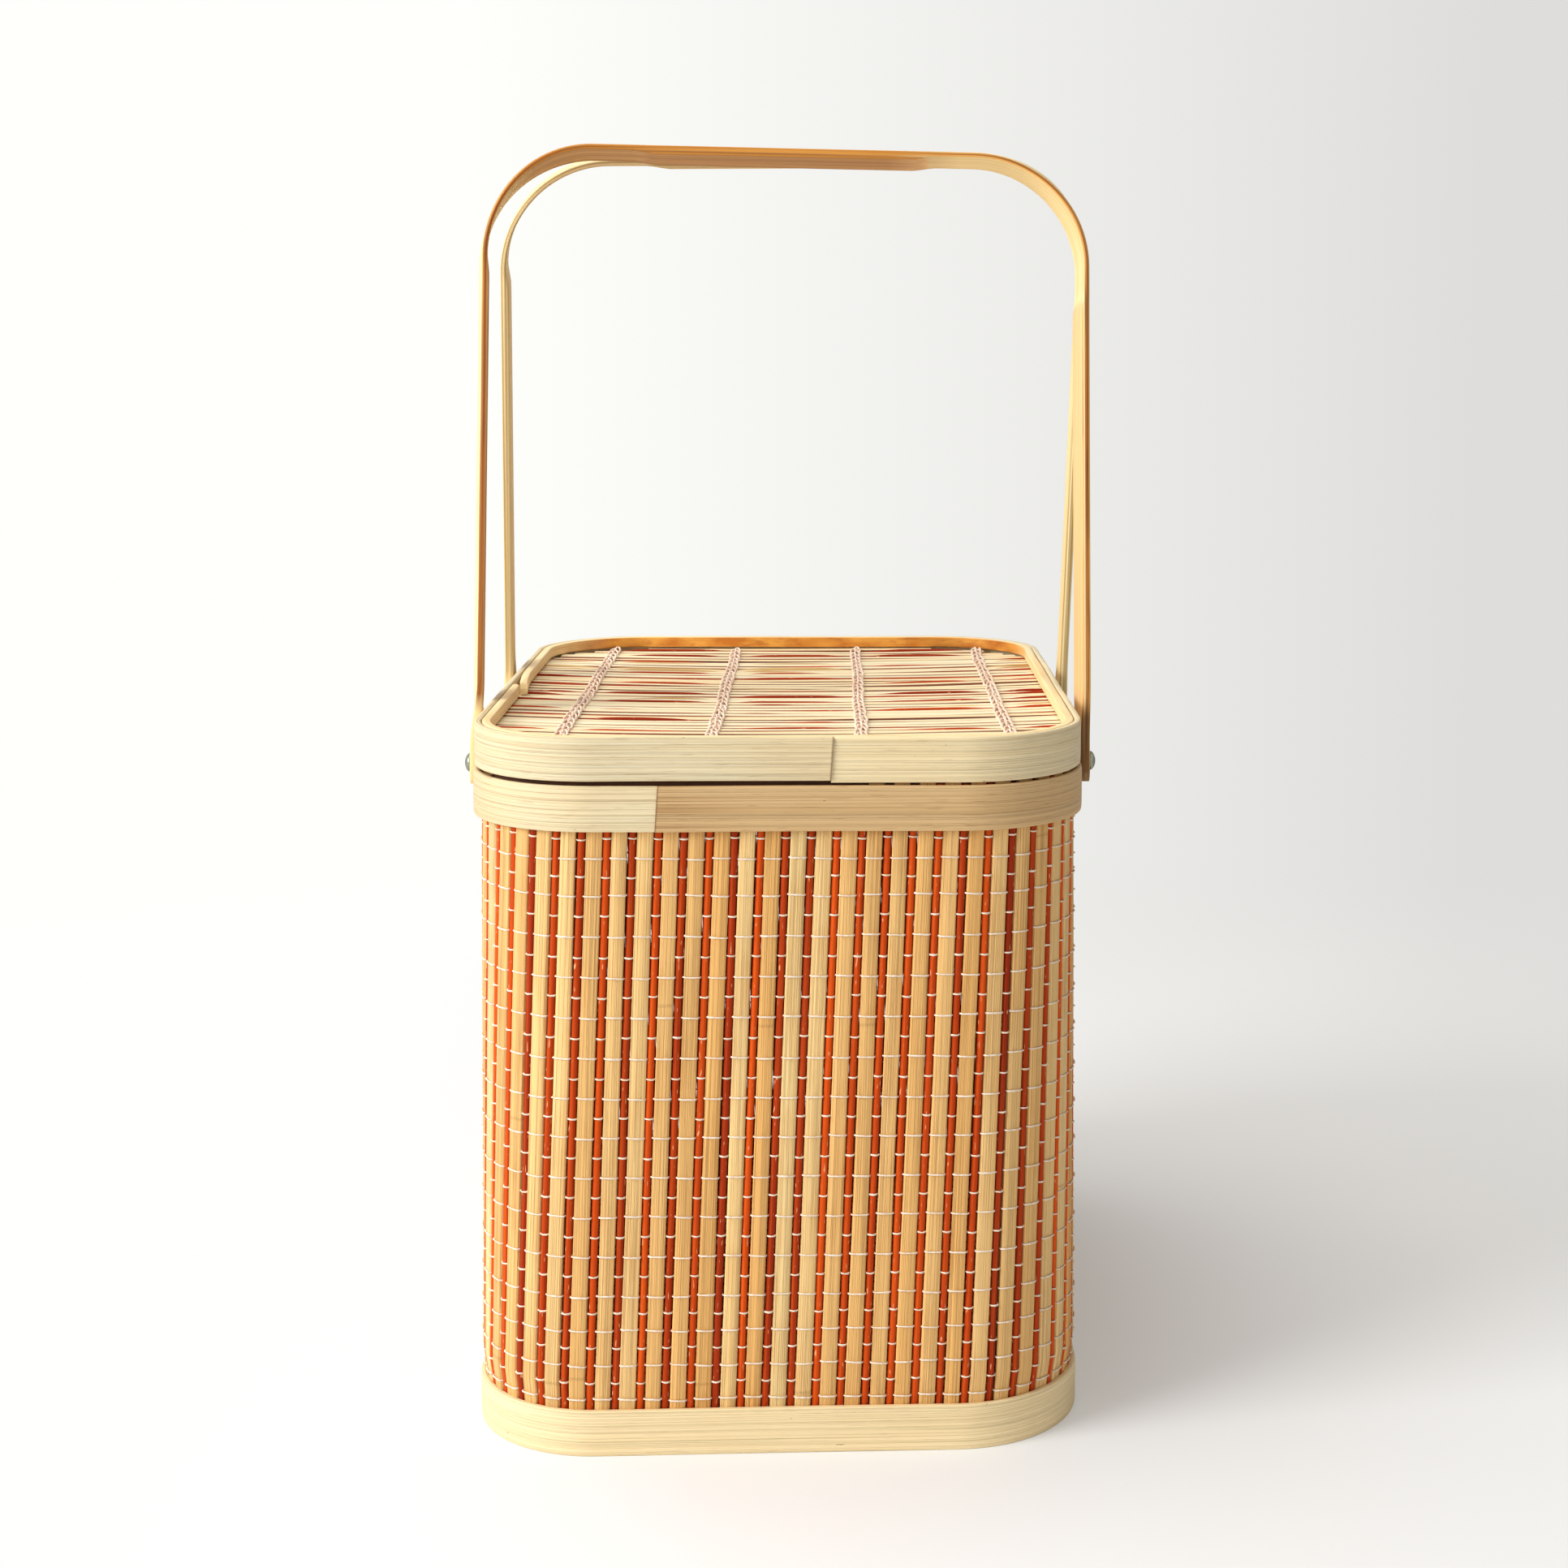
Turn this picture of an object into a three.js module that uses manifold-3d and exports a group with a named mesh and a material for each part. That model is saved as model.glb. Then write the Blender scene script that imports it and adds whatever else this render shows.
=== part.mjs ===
// A rectangular bamboo picnic basket with a lift-off lid and two carrying bails.
// Millimetres, +Z up, +X to the right, -Y to the front.
// The origin is on the table, midway under the basket.
import * as THREE from "three";
import { mergeVertices } from "three/addons/utils/BufferGeometryUtils.js";
import Module from "manifold-3d";

const wasm = await Module();
wasm.setup();

// Basket, over its outer hoops
const basketWidth = 220;
const basketDepth = 288;
const cornerRadius = 46;
const rimTop = 240;

// Clearance between pieces that are pressed or bound together
const fitGap = 0.3;

// Outer hoops: bent bands that show, with one end lapped over the other
const outerHoopThickness = 2.5;
const baseBandHeight = 16.5;
const rimBandHeight = 16;
const lapRise = 1;
const lapLength = 55;
const rimLapX = -44;
const lidLapX = 19;
const baseLapX = -10;

// Inner hoops
const innerHoopThickness = 3.4;
const footHoopHeight = 6;
const lipHeight = 9;

// Woven mat of the wall and the floor: slats with a stick and its two deep seams between each two
const slatWidth = 5.6;
const stickWidth = 3.2;
const matThickness = 2.8;
const seamThickness = 1;
const crownThickness = 2.6;
const seamWidth = 0.15;
const wallStart = 2;

// Floor battens
const battenWidth = 14;
const battenThickness = 3.4;
const battenSpacing = 90;

// Lid
const lidBandHeight = 16;
const lidLift = 1;
const lidPlay = 0.5;
const lidSeatClearance = 0.6;
const lidInnerHoopThickness = 3.1;
const lidRecess = 4.5;
const panelThickness = 2.4;
const splintWidth = 7.5;
const splintEdge = 0.7;
const splintGrooveDepth = 0.6;
const jointY = -27;
const jointGap = 1.6;
const jointSpring = 1.2;
const jointSpringLength = 40;
const jointChamfer = 2;

// Chain-stitch bands across the lid's splints
const stitchCount = 4;
const stitchSpacing = 54;
const stitchShift = 2.6;
const stitchWidth = 4.2;
const stitchHeight = 0.9;
const stitchBase = 0.3;

// Pivots of the bails: domed screws with spacers outside, washers and nuts inside
const pivotY = 50;
const pivotDrop = 7.5;
const shankRadius = 1.9;
const headRadius = 3.7;
const headHeight = 2.6;
const headEdge = 0.65;
const spacerRadius = 5;
const spacerThickness = 2.6;
const washerRadius = 4.5;
const washerThickness = 0.8;
const nutAcrossFlats = 7;
const nutThickness = 3.2;
const shankEnd = 1;

// Bails: strips bent over the basket, shaved thin at the bends
const bailHeight = 235.5;
const bailStripWidth = 21;
const bailBendRadius = 44;
const legThickness = 4;
const bendThickness = 2.3;
const gripThickness = 3.6;
const shaveBelowBend = 10;
const shaveBesideBend = 14;
const shaveRamp = 12;
const footDrop = 8;
const footRound = 5;
const edgeBevel = 0.7;
const bailMeetGap = 0.6;
const frontSway = 0.5;
const rearSway = 5;
const frontGripTilt = -0.012;
const rearGripTilt = 0.015;

// Smoothness
const hoopArcSegments = 8;
const roundSegments = 12;
const bendSteps = 9;
const shaveSteps = 3;
const footSteps = 3;
const domeSteps = 4;
const stitchSteps = 3;

// Places worked out from the sizes above
const matInset = outerHoopThickness + fitGap;
const innerInset = matInset + matThickness + fitGap;
const innerHoopFace = innerInset + innerHoopThickness;
const rimBottom = rimTop - rimBandHeight;
const lipTop = rimTop + lipHeight;
const floorMiddle = footHoopHeight + fitGap + matThickness / 2;
const floorTop = floorMiddle + matThickness / 2;
const lidBottom = rimTop + lidLift;
const lidTop = lidBottom + lidBandHeight;
const lidRim = lidPlay + outerHoopThickness + fitGap;
const panelTop = lidTop - lidRecess - fitGap;
const panelBottom = panelTop - panelThickness;
const pivotZ = rimTop - pivotDrop;
const boreRadius = shankRadius + fitGap;
const innerHoopFaceX = basketWidth / 2 - innerHoopFace;
const washerX = innerHoopFaceX - fitGap - washerThickness;
const nutX = washerX - fitGap - nutThickness;
const bailInnerX = basketWidth / 2 + spacerThickness + 2 * fitGap;
const bailOuterX = bailInnerX + legThickness;

const pale = { color: 0xe9d6a4, roughness: 0.55, metalness: 0 };
const golden = { color: 0xdcb877, roughness: 0.5, metalness: 0 };
const mat = { color: 0xe2b780, roughness: 0.6, metalness: 0 };
const thread = { color: 0xeadccb, roughness: 0.9, metalness: 0 };
const steel = { color: 0xb9bab6, roughness: 0.25, metalness: 1 };

const basket = new THREE.Group();

function addPiece(name, geometry, look, parent = basket) {
  const mesh = new THREE.Mesh(geometry, new THREE.MeshStandardMaterial(look));
  mesh.name = name;
  parent.add(mesh);
  return mesh;
}

// Solid of a closed geometry, and back again
function toSolid(geometry) {
  const bare = geometry.clone();
  bare.deleteAttribute("normal");
  bare.deleteAttribute("uv");
  const merged = mergeVertices(bare, 1e-4);
  const triVerts = new Uint32Array(merged.index.array);
  const vertProperties = merged.attributes.position.array;
  return new wasm.Manifold(new wasm.Mesh({ numProp: 3, vertProperties, triVerts }));
}

function toGeometry(solid) {
  const made = solid.getMesh();
  const geometry = new THREE.BufferGeometry();
  geometry.setAttribute("position", new THREE.BufferAttribute(made.vertProperties, 3));
  geometry.setIndex(new THREE.BufferAttribute(made.triVerts, 1));
  return geometry;
}

// The basket's outline, drawn in from its outer face by an inset, anticlockwise from the front left.
// A lap stands proud on the front side: its end is at x, and it thins out towards one side.
function traceOutline(path, inset, lap) {
  const x = basketWidth / 2 - inset;
  const y = basketDepth / 2 - inset;
  const r = cornerRadius - inset;
  path.moveTo(-x + r, -y);
  if (lap) {
    const farEnd = THREE.MathUtils.clamp(lap.x + lap.towards * lapLength, -x + r, x - r);
    const points = [[lap.x, -y], [lap.x, -y - lapRise], [farEnd, -y]];
    if (lap.towards < 0) points.reverse();
    for (const point of points) path.lineTo(...point);
  }
  path.absarc(x - r, -y + r, r, -Math.PI / 2, 0);
  path.absarc(x - r, y - r, r, 0, Math.PI / 2);
  path.absarc(-x + r, y - r, r, Math.PI / 2, Math.PI);
  path.absarc(-x + r, -y + r, r, Math.PI, 1.5 * Math.PI);
  return path;
}

function extrudeUp(shape, bottom, top) {
  const settings = { depth: top - bottom, bevelEnabled: false, curveSegments: hoopArcSegments };
  return new THREE.ExtrudeGeometry(shape, settings).translate(0, 0, bottom);
}

// A closed band that follows the basket's outline
function hoop(outerInset, thickness, bottom, top, lap) {
  const shape = traceOutline(new THREE.Shape(), outerInset, lap);
  shape.holes.push(traceOutline(new THREE.Path(), outerInset + thickness));
  return extrudeUp(shape, bottom, top);
}

// A filled plate of the basket's outline
function plate(inset, bottom, top) {
  return extrudeUp(traceOutline(new THREE.Shape(), inset), bottom, top);
}

// Bores for the four pivot screws, two long rods across the basket
function boreForPivots(geometry) {
  let solid = toSolid(geometry);
  for (const y of [-pivotY, pivotY]) {
    const rod = new THREE.CylinderGeometry(boreRadius, boreRadius, basketWidth, roundSegments);
    rod.rotateZ(Math.PI / 2).translate(0, y, pivotZ);
    solid = solid.subtract(toSolid(rod));
  }
  return toGeometry(solid);
}

// Half thickness of the mat along its length: a stick's rounded crown between two deep seams, then a
// slat. Each entry gives the place along the mat and the half thickness there.
function matSteps(length) {
  const pairs = Math.round(length / (slatWidth + stickWidth));
  const pitch = length / pairs;
  const steps = [];
  for (let i = 0; i < pairs; i++) {
    const start = i * pitch;
    steps.push([start, matThickness / 2]);
    steps.push([start + seamWidth, seamThickness / 2]);
    steps.push([start + stickWidth / 2, crownThickness / 2]);
    steps.push([start + stickWidth - seamWidth, seamThickness / 2]);
    steps.push([start + stickWidth, matThickness / 2]);
  }
  return steps;
}

// A point at a distance along the basket's outline and at an offset outwards from it
function outlinePoint(inset, distance, outward) {
  const x = basketWidth / 2 - inset;
  const y = basketDepth / 2 - inset;
  const r = cornerRadius - inset;
  const quarter = (Math.PI / 2) * r;
  const sides = [2 * (x - r), 2 * (y - r), 2 * (x - r), 2 * (y - r)];
  const starts = [[-x + r, -y], [x, -y + r], [x - r, y], [-x, y - r]];
  const centres = [[x - r, -y + r], [x - r, y - r], [-x + r, y - r], [-x + r, -y + r]];
  let left = distance;
  for (let side = 0; side < 4; side++) {
    const heading = (side * Math.PI) / 2;
    if (left <= sides[side]) {
      return new THREE.Vector2(
        starts[side][0] + left * Math.cos(heading) + outward * Math.sin(heading),
        starts[side][1] + left * Math.sin(heading) - outward * Math.cos(heading),
      );
    }
    left -= sides[side];
    if (left <= quarter) {
      const turn = heading - Math.PI / 2 + left / r;
      return new THREE.Vector2(
        centres[side][0] + (r + outward) * Math.cos(turn),
        centres[side][1] + (r + outward) * Math.sin(turn),
      );
    }
    left -= quarter;
  }
  return new THREE.Vector2(-x + r, -y - outward);
}

// The wall: one mat bent round the basket, its slats and sticks standing upright
function wovenWall() {
  const inset = matInset + matThickness / 2;
  const straight = 2 * (basketWidth + basketDepth - 4 * cornerRadius);
  const length = straight + 2 * Math.PI * (cornerRadius - inset);
  const steps = matSteps(length);
  const outer = steps.map(([place, half]) => outlinePoint(inset, place, half));
  const inner = steps.map(([place, half]) => outlinePoint(inset, place, -half));
  const shape = new THREE.Shape(outer);
  shape.holes.push(new THREE.Path(inner));
  return boreForPivots(extrudeUp(shape, wallStart, rimTop));
}

// A flat mat whose strips lie along X: a section across the strips, carried along X
// and trimmed to the basket's outline
function flatMat(steps, middle, inset) {
  const upper = steps.map(([place, half]) => new THREE.Vector2(place, middle + half));
  const lower = steps.map(([place, , half]) => new THREE.Vector2(place, middle - half));
  const section = new THREE.Shape([...lower, ...upper.reverse()]);
  const strips = new THREE.ExtrudeGeometry(section, { depth: basketWidth, bevelEnabled: false });
  const alongX = new THREE.Matrix4().makeBasis(
    new THREE.Vector3(0, 1, 0),
    new THREE.Vector3(0, 0, 1),
    new THREE.Vector3(1, 0, 0),
  );
  strips.applyMatrix4(alongX).translate(-basketWidth / 2, -basketDepth / 2, 0);
  const trim = plate(inset, middle - basketWidth, middle + basketWidth);
  return toGeometry(toSolid(strips).intersect(toSolid(trim)));
}

function floorMat() {
  const steps = matSteps(basketDepth).map(([place, half]) => [place, half, half]);
  return flatMat(steps, floorMiddle, innerInset);
}

// The lid's splints lie edge to edge, with a groove between each two
function splintMat() {
  const count = Math.round(basketDepth / splintWidth);
  const pitch = basketDepth / count;
  const full = panelThickness / 2;
  const groove = full - splintGrooveDepth;
  const steps = [];
  for (let i = 0; i < count; i++) {
    steps.push([i * pitch, groove, groove]);
    steps.push([i * pitch + splintEdge, full, full]);
    steps.push([(i + 1) * pitch - splintEdge, full, full]);
  }
  steps.push([basketDepth, groove, groove]);
  return flatMat(steps, (panelTop + panelBottom) / 2, lidRim);
}

// The lid's inner hoop is open: its two ends butt on the left side, and the rear end
// springs inwards a little. The front end's inner corner is cut off.
function lidInnerHoop() {
  const x = basketWidth / 2 - lidRim;
  const y = basketDepth / 2 - lidRim;
  const r = cornerRadius - lidRim;
  const t = lidInnerHoopThickness;
  const front = jointY - jointGap / 2;
  const rear = jointY + jointGap / 2;
  const shape = new THREE.Shape();
  shape.moveTo(-x, front);
  shape.absarc(-x + r, -y + r, r, Math.PI, 1.5 * Math.PI);
  shape.absarc(x - r, -y + r, r, -Math.PI / 2, 0);
  shape.absarc(x - r, y - r, r, 0, Math.PI / 2);
  shape.absarc(-x + r, y - r, r, Math.PI / 2, Math.PI);
  shape.lineTo(-x, rear + jointSpringLength);
  shape.lineTo(-x + jointSpring, rear);
  shape.lineTo(-x + t + jointSpring, rear);
  shape.lineTo(-x + t, rear + jointSpringLength);
  shape.absarc(-x + r, y - r, r - t, Math.PI, Math.PI / 2, true);
  shape.absarc(x - r, y - r, r - t, Math.PI / 2, 0, true);
  shape.absarc(x - r, -y + r, r - t, 0, -Math.PI / 2, true);
  shape.absarc(-x + r, -y + r, r - t, 1.5 * Math.PI, Math.PI, true);
  shape.lineTo(-x + t, front - jointChamfer);
  shape.lineTo(-x + t - jointChamfer, front);
  return extrudeUp(shape, panelTop + fitGap, lidTop);
}

// Farthest a straight line at x reaches towards the rear before it meets the outline
function reachAt(x, inset) {
  const r = cornerRadius - inset;
  const intoCorner = Math.max(0, Math.abs(x) - (basketWidth / 2 - cornerRadius));
  return basketDepth / 2 - cornerRadius + Math.sqrt(r * r - intoCorner * intoCorner);
}

// A double row of chain stitch: two round ridges side by side
function stitchBand(x) {
  const ridge = stitchWidth / 4;
  const section = new THREE.Shape();
  section.moveTo(-2 * ridge, 0);
  section.lineTo(2 * ridge, 0);
  section.absellipse(ridge, stitchBase, ridge, stitchHeight - stitchBase, 0, Math.PI);
  section.absellipse(-ridge, stitchBase, ridge, stitchHeight - stitchBase, 0, Math.PI);
  const reach = reachAt(Math.abs(x) + stitchWidth / 2, lidRim + lidInnerHoopThickness) - fitGap;
  const settings = { depth: 2 * reach, bevelEnabled: false, curveSegments: stitchSteps };
  const band = new THREE.ExtrudeGeometry(section, settings).translate(0, 0, -reach);
  return band.rotateX(Math.PI / 2).translate(x, 0, panelTop + fitGap);
}

// Turned pieces lie along +X, their outer end outwards, and turn round for the left side
function placeAtPivot(name, geometry, side, y, look) {
  const piece = addPiece(name, geometry, look);
  piece.position.set(0, y, pivotZ);
  piece.rotation.z = side > 0 ? 0 : Math.PI;
  return piece;
}

function ring(outerRadius, start, thickness) {
  const profile = [
    new THREE.Vector2(boreRadius, start),
    new THREE.Vector2(outerRadius, start),
    new THREE.Vector2(outerRadius, start + thickness),
    new THREE.Vector2(boreRadius, start + thickness),
    new THREE.Vector2(boreRadius, start),
  ];
  return new THREE.LatheGeometry(profile, roundSegments).rotateZ(-Math.PI / 2);
}

function screw() {
  const seat = bailOuterX + fitGap;
  const profile = [
    new THREE.Vector2(0, nutX - shankEnd),
    new THREE.Vector2(shankRadius, nutX - shankEnd),
    new THREE.Vector2(shankRadius, seat),
    new THREE.Vector2(headRadius, seat),
  ];
  for (let i = 0; i < domeSteps; i++) {
    const turn = (i / domeSteps) * (Math.PI / 2);
    const rise = headEdge + (headHeight - headEdge) * Math.sin(turn);
    profile.push(new THREE.Vector2(headRadius * Math.cos(turn), seat + rise));
  }
  profile.push(new THREE.Vector2(0, seat + headHeight));
  return new THREE.LatheGeometry(profile, roundSegments).rotateZ(-Math.PI / 2);
}

function nut() {
  const corner = new THREE.Vector2(nutAcrossFlats / Math.sqrt(3), 0);
  const middle = new THREE.Vector2();
  const hexagon = [0, 1, 2, 3, 4, 5].map((i) => corner.clone().rotateAround(middle, (i * Math.PI) / 3));
  const shape = new THREE.Shape(hexagon);
  shape.holes.push(new THREE.Path().absarc(0, 0, boreRadius, 0, 2 * Math.PI, true));
  const settings = { depth: nutThickness, bevelEnabled: false, curveSegments: roundSegments / 2 };
  return new THREE.ExtrudeGeometry(shape, settings).rotateY(Math.PI / 2).translate(nutX, 0, 0);
}

// Thickness part way up the ramp from the shaved bend to the full strip
function shaved(fullThickness, share) {
  const eased = THREE.MathUtils.smoothstep(share, 0, 1);
  return THREE.MathUtils.lerp(bendThickness, fullThickness, eased);
}

// Stations along one half of a bail, from the foot to the middle of the grip.
// Each has the outer face's place, the outward direction, the strip's thickness and half width.
function bailStations() {
  const stations = [];
  const legTop = bailHeight - bailBendRadius;
  const bendX = bailOuterX - bailBendRadius;
  const upright = (z, thickness, half = bailStripWidth / 2) => {
    stations.push({ x: bailOuterX, z, nx: 1, nz: 0, thickness, half });
  };
  const level = (x, thickness) => {
    stations.push({ x, z: bailHeight, nx: 0, nz: 1, thickness, half: bailStripWidth / 2 });
  };
  for (let i = 0; i < footSteps; i++) {
    const turn = (i / footSteps) * (Math.PI / 2);
    const cut = footRound * (1 - Math.sin(turn));
    upright(-footDrop + footRound * (1 - Math.cos(turn)), legThickness, bailStripWidth / 2 - cut);
  }
  upright(-footDrop + footRound, legThickness);
  upright(footDrop, legThickness);
  for (let i = 0; i <= shaveSteps; i++) {
    const share = i / shaveSteps;
    const thickness = shaved(legThickness, 1 - share);
    upright(legTop - shaveBelowBend - (1 - share) * shaveRamp, thickness);
  }
  for (let i = 0; i <= bendSteps; i++) {
    const turn = (i / bendSteps) * (Math.PI / 2);
    const nx = Math.cos(turn);
    const nz = Math.sin(turn);
    const x = bendX + bailBendRadius * nx;
    const z = legTop + bailBendRadius * nz;
    stations.push({ x, z, nx, nz, thickness: bendThickness, half: bailStripWidth / 2 });
  }
  for (let i = 0; i <= shaveSteps; i++) {
    const share = i / shaveSteps;
    level(bendX - shaveBesideBend - share * shaveRamp, shaved(gripThickness, share));
  }
  return stations;
}

// Section of the strip at a station: a flat bar with its four edges bevelled
function bailSection({ x, z, nx, nz, thickness, half }, side, sway, tilt) {
  const corners = [
    [0, edgeBevel - half],
    [0, half - edgeBevel],
    [edgeBevel, half],
    [thickness - edgeBevel, half],
    [thickness, half - edgeBevel],
    [thickness, edgeBevel - half],
    [thickness - edgeBevel, -half],
    [edgeBevel, -half],
  ];
  return corners.map(([depth, y]) => {
    const px = side * (x - depth * nx);
    const pz = z - depth * nz;
    const share = Math.max(0, pz) / bailHeight;
    return [px + sway * share, y, pz + tilt * px * share];
  });
}

// The bail stands upright here, its pivot axis on X; sway racks it sideways, tilt slopes its grip
function bail(sway, tilt) {
  const half = bailStations();
  const right = half.map((station) => bailSection(station, 1, sway, tilt));
  const left = half.map((station) => bailSection(station, -1, sway, tilt)).reverse();
  const rings = [...right, ...left];
  const points = rings.flat();
  const around = rings[0].length;
  const index = [];
  for (let i = 0; i + 1 < rings.length; i++) {
    for (let j = 0; j < around; j++) {
      const a = i * around + j;
      const b = i * around + ((j + 1) % around);
      index.push(a, b, a + around, b, b + around, a + around);
    }
  }
  const last = (rings.length - 1) * around;
  for (let j = 1; j + 1 < around; j++) {
    index.push(0, j + 1, j, last, last + j, last + j + 1);
  }
  const strip = new THREE.BufferGeometry();
  strip.setAttribute("position", new THREE.Float32BufferAttribute(points.flat(), 3));
  strip.setIndex(index);
  const rodLength = 2 * bailOuterX + legThickness;
  const rod = new THREE.CylinderGeometry(boreRadius, boreRadius, rodLength, roundSegments);
  rod.rotateZ(Math.PI / 2);
  return toGeometry(toSolid(strip).subtract(toSolid(rod)));
}

// Lean at which the two grips meet over the middle of the lid
const gripReach = Math.hypot(bailHeight, bailStripWidth / 2);
const lean = Math.asin((pivotY - bailMeetGap / 2) / gripReach) - Math.atan2(bailStripWidth / 2, bailHeight);

// The base: an outer band, the ring that the basket stands on, the floor and the ring above it
const baseLap = { x: baseLapX, towards: 1 };
const baseHoop = hoop(0, outerHoopThickness, 0, baseBandHeight, baseLap).rotateZ(Math.PI);
addPiece("base_outer_hoop", baseHoop, pale);
addPiece("base_foot_hoop", hoop(innerInset, innerHoopThickness, 0, footHoopHeight), pale);
addPiece("bottom_panel", floorMat(), mat);
const floorRing = hoop(innerInset, innerHoopThickness, floorTop + fitGap, baseBandHeight);
addPiece("base_inner_hoop", floorRing, pale);
for (const [name, side] of [["floor_batten_left", -1], ["floor_batten_right", 1]]) {
  const x = (side * battenSpacing) / 2;
  const reach = reachAt(Math.abs(x) + battenWidth / 2, innerHoopFace) - fitGap;
  const batten = new THREE.BoxGeometry(battenWidth, 2 * reach, battenThickness);
  addPiece(name, batten.translate(x, 0, footHoopHeight - battenThickness / 2), golden);
}

// The wall and the two hoops of its mouth; the inner one stands proud as the lid's lip
addPiece("woven_wall", wovenWall(), mat);
const rimLap = { x: rimLapX, towards: 1 };
const rimHoop = hoop(0, outerHoopThickness, rimBottom, rimTop, rimLap);
addPiece("rim_outer_hoop", boreForPivots(rimHoop), pale);
const lip = hoop(innerInset, innerHoopThickness, rimBottom, lipTop);
addPiece("rim_inner_hoop", boreForPivots(lip), pale);

// The lid
const lid = new THREE.Group();
basket.add(lid);
const lidLap = { x: lidLapX, towards: -1 };
addPiece("lid_outer_hoop", hoop(lidPlay, outerHoopThickness, lidBottom, lidTop, lidLap), pale, lid);
addPiece("lid_inner_hoop", lidInnerHoop(), pale, lid);
const seatThickness = innerInset - lidSeatClearance - lidRim;
const seat = hoop(lidRim, seatThickness, lidBottom, panelBottom - fitGap);
addPiece("lid_seat_hoop", seat, pale, lid);
addPiece("lid_panel", splintMat(), golden, lid);
for (let i = 0; i < stitchCount; i++) {
  const x = stitchShift + (i - (stitchCount - 1) / 2) * stitchSpacing;
  addPiece(`lid_stitch_${i + 1}`, stitchBand(x), thread, lid);
}

// The pivots, one at each end of each bail
for (const [end, y] of [["front", -pivotY], ["rear", pivotY]]) {
  for (const [hand, side] of [["left", -1], ["right", 1]]) {
    const place = `${end}_${hand}`;
    placeAtPivot(`pivot_screw_${place}`, screw(), side, y, steel);
    const spacerStart = basketWidth / 2 + fitGap;
    placeAtPivot(`spacer_${place}`, ring(spacerRadius, spacerStart, spacerThickness), side, y, steel);
    placeAtPivot(`washer_${place}`, ring(washerRadius, washerX, washerThickness), side, y, steel);
    placeAtPivot(`nut_${place}`, nut(), side, y, steel);
  }
}

// The bails, leaning on each other over the lid
for (const [name, y, sway, tilt] of [
  ["front_bail", -pivotY, frontSway, frontGripTilt],
  ["rear_bail", pivotY, rearSway, rearGripTilt],
]) {
  const strip = addPiece(name, bail(sway, tilt), golden);
  strip.position.set(0, y, pivotZ);
  strip.rotation.x = Math.sign(y) * lean;
}

export default basket;
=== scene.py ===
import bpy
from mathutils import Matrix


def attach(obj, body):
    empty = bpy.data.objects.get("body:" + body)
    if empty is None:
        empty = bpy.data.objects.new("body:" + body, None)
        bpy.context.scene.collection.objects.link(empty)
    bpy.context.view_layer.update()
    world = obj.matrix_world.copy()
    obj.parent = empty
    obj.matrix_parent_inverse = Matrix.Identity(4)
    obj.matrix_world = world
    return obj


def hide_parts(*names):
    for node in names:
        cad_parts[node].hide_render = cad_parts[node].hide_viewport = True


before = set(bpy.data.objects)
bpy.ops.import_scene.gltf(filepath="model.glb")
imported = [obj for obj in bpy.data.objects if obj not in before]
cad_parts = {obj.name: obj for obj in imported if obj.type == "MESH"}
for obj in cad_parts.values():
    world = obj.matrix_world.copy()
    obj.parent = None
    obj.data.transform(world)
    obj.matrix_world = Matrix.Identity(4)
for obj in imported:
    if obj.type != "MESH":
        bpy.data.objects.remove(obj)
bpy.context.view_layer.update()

import math

import bpy
import numpy as np
from mathutils import Matrix

# Foot hoops
# The foot is a bamboo strip steamed and bent round the lower edge of the wall, then lapped over its
# own end at the rear. Two narrower rings inside it hold the floor between them.
basket_width, basket_depth, basket_corner = 0.220, 0.288, 0.046
outer_strip, inner_strip, gap = 0.0025, 0.0034, 0.0003
foot_top, foot_ring_top = 0.0165, 0.006
mat_thickness = 0.0028
mat_inset = outer_strip + gap + mat_thickness / 2
inner_inset = outer_strip + mat_thickness + 2 * gap
floor_middle = foot_ring_top + gap + mat_thickness / 2
lap_rise, lap_length = 0.0007, 0.055
end_askew, end_length, gape_length = 0.0005, 0.03, 0.3
chance = np.random.default_rng(7)


def outline(distance, inset):
    """Places and outward directions at distances along the basket's outline, anticlockwise from the
    middle of the front. A circle of the corner's radius, less the inset, has its centre carried round
    the rectangle of the four corner centres, and its direction turns only at the corners:
    place = centre + radius * direction."""
    a, b = basket_width / 2 - basket_corner, basket_depth / 2 - basket_corner
    radius = basket_corner - inset
    quarter = radius * math.pi / 2
    stops = np.cumsum([0, a, quarter, 2 * b, quarter, 2 * a, quarter, 2 * b, quarter, a])
    distance = np.mod(distance, stops[-1])
    x = np.interp(distance, stops, [0, a, a, a, a, -a, -a, -a, -a, 0])
    y = np.interp(distance, stops, [-b, -b, -b, b, b, b, b, -b, -b, -b])
    turn = np.interp(distance, stops, np.array([-1, -1, 0, 0, 1, 1, 2, 2, 3, 3]) * math.pi / 2)
    outward = np.stack([np.cos(turn), np.sin(turn), 0 * turn], -1)
    return np.stack([x, y, 0 * x], -1) + radius * outward, outward


def girth(inset):
    """Length of the outline: the straight sides and one full circle."""
    straight = 2 * (basket_width + basket_depth - 4 * basket_corner)
    return straight + 2 * math.pi * (basket_corner - inset)


def section(count, squareness):
    """Points round a bar's section, from -1 to 1 each way: the cosine and sine of evenly spaced
    angles, each raised to 2 / squareness with its sign kept."""
    angle = np.arange(count) * 2 * math.pi / count
    both = np.stack([np.cos(angle), np.sin(angle)])
    return np.sign(both) * np.abs(both) ** (2 / squareness)


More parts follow.
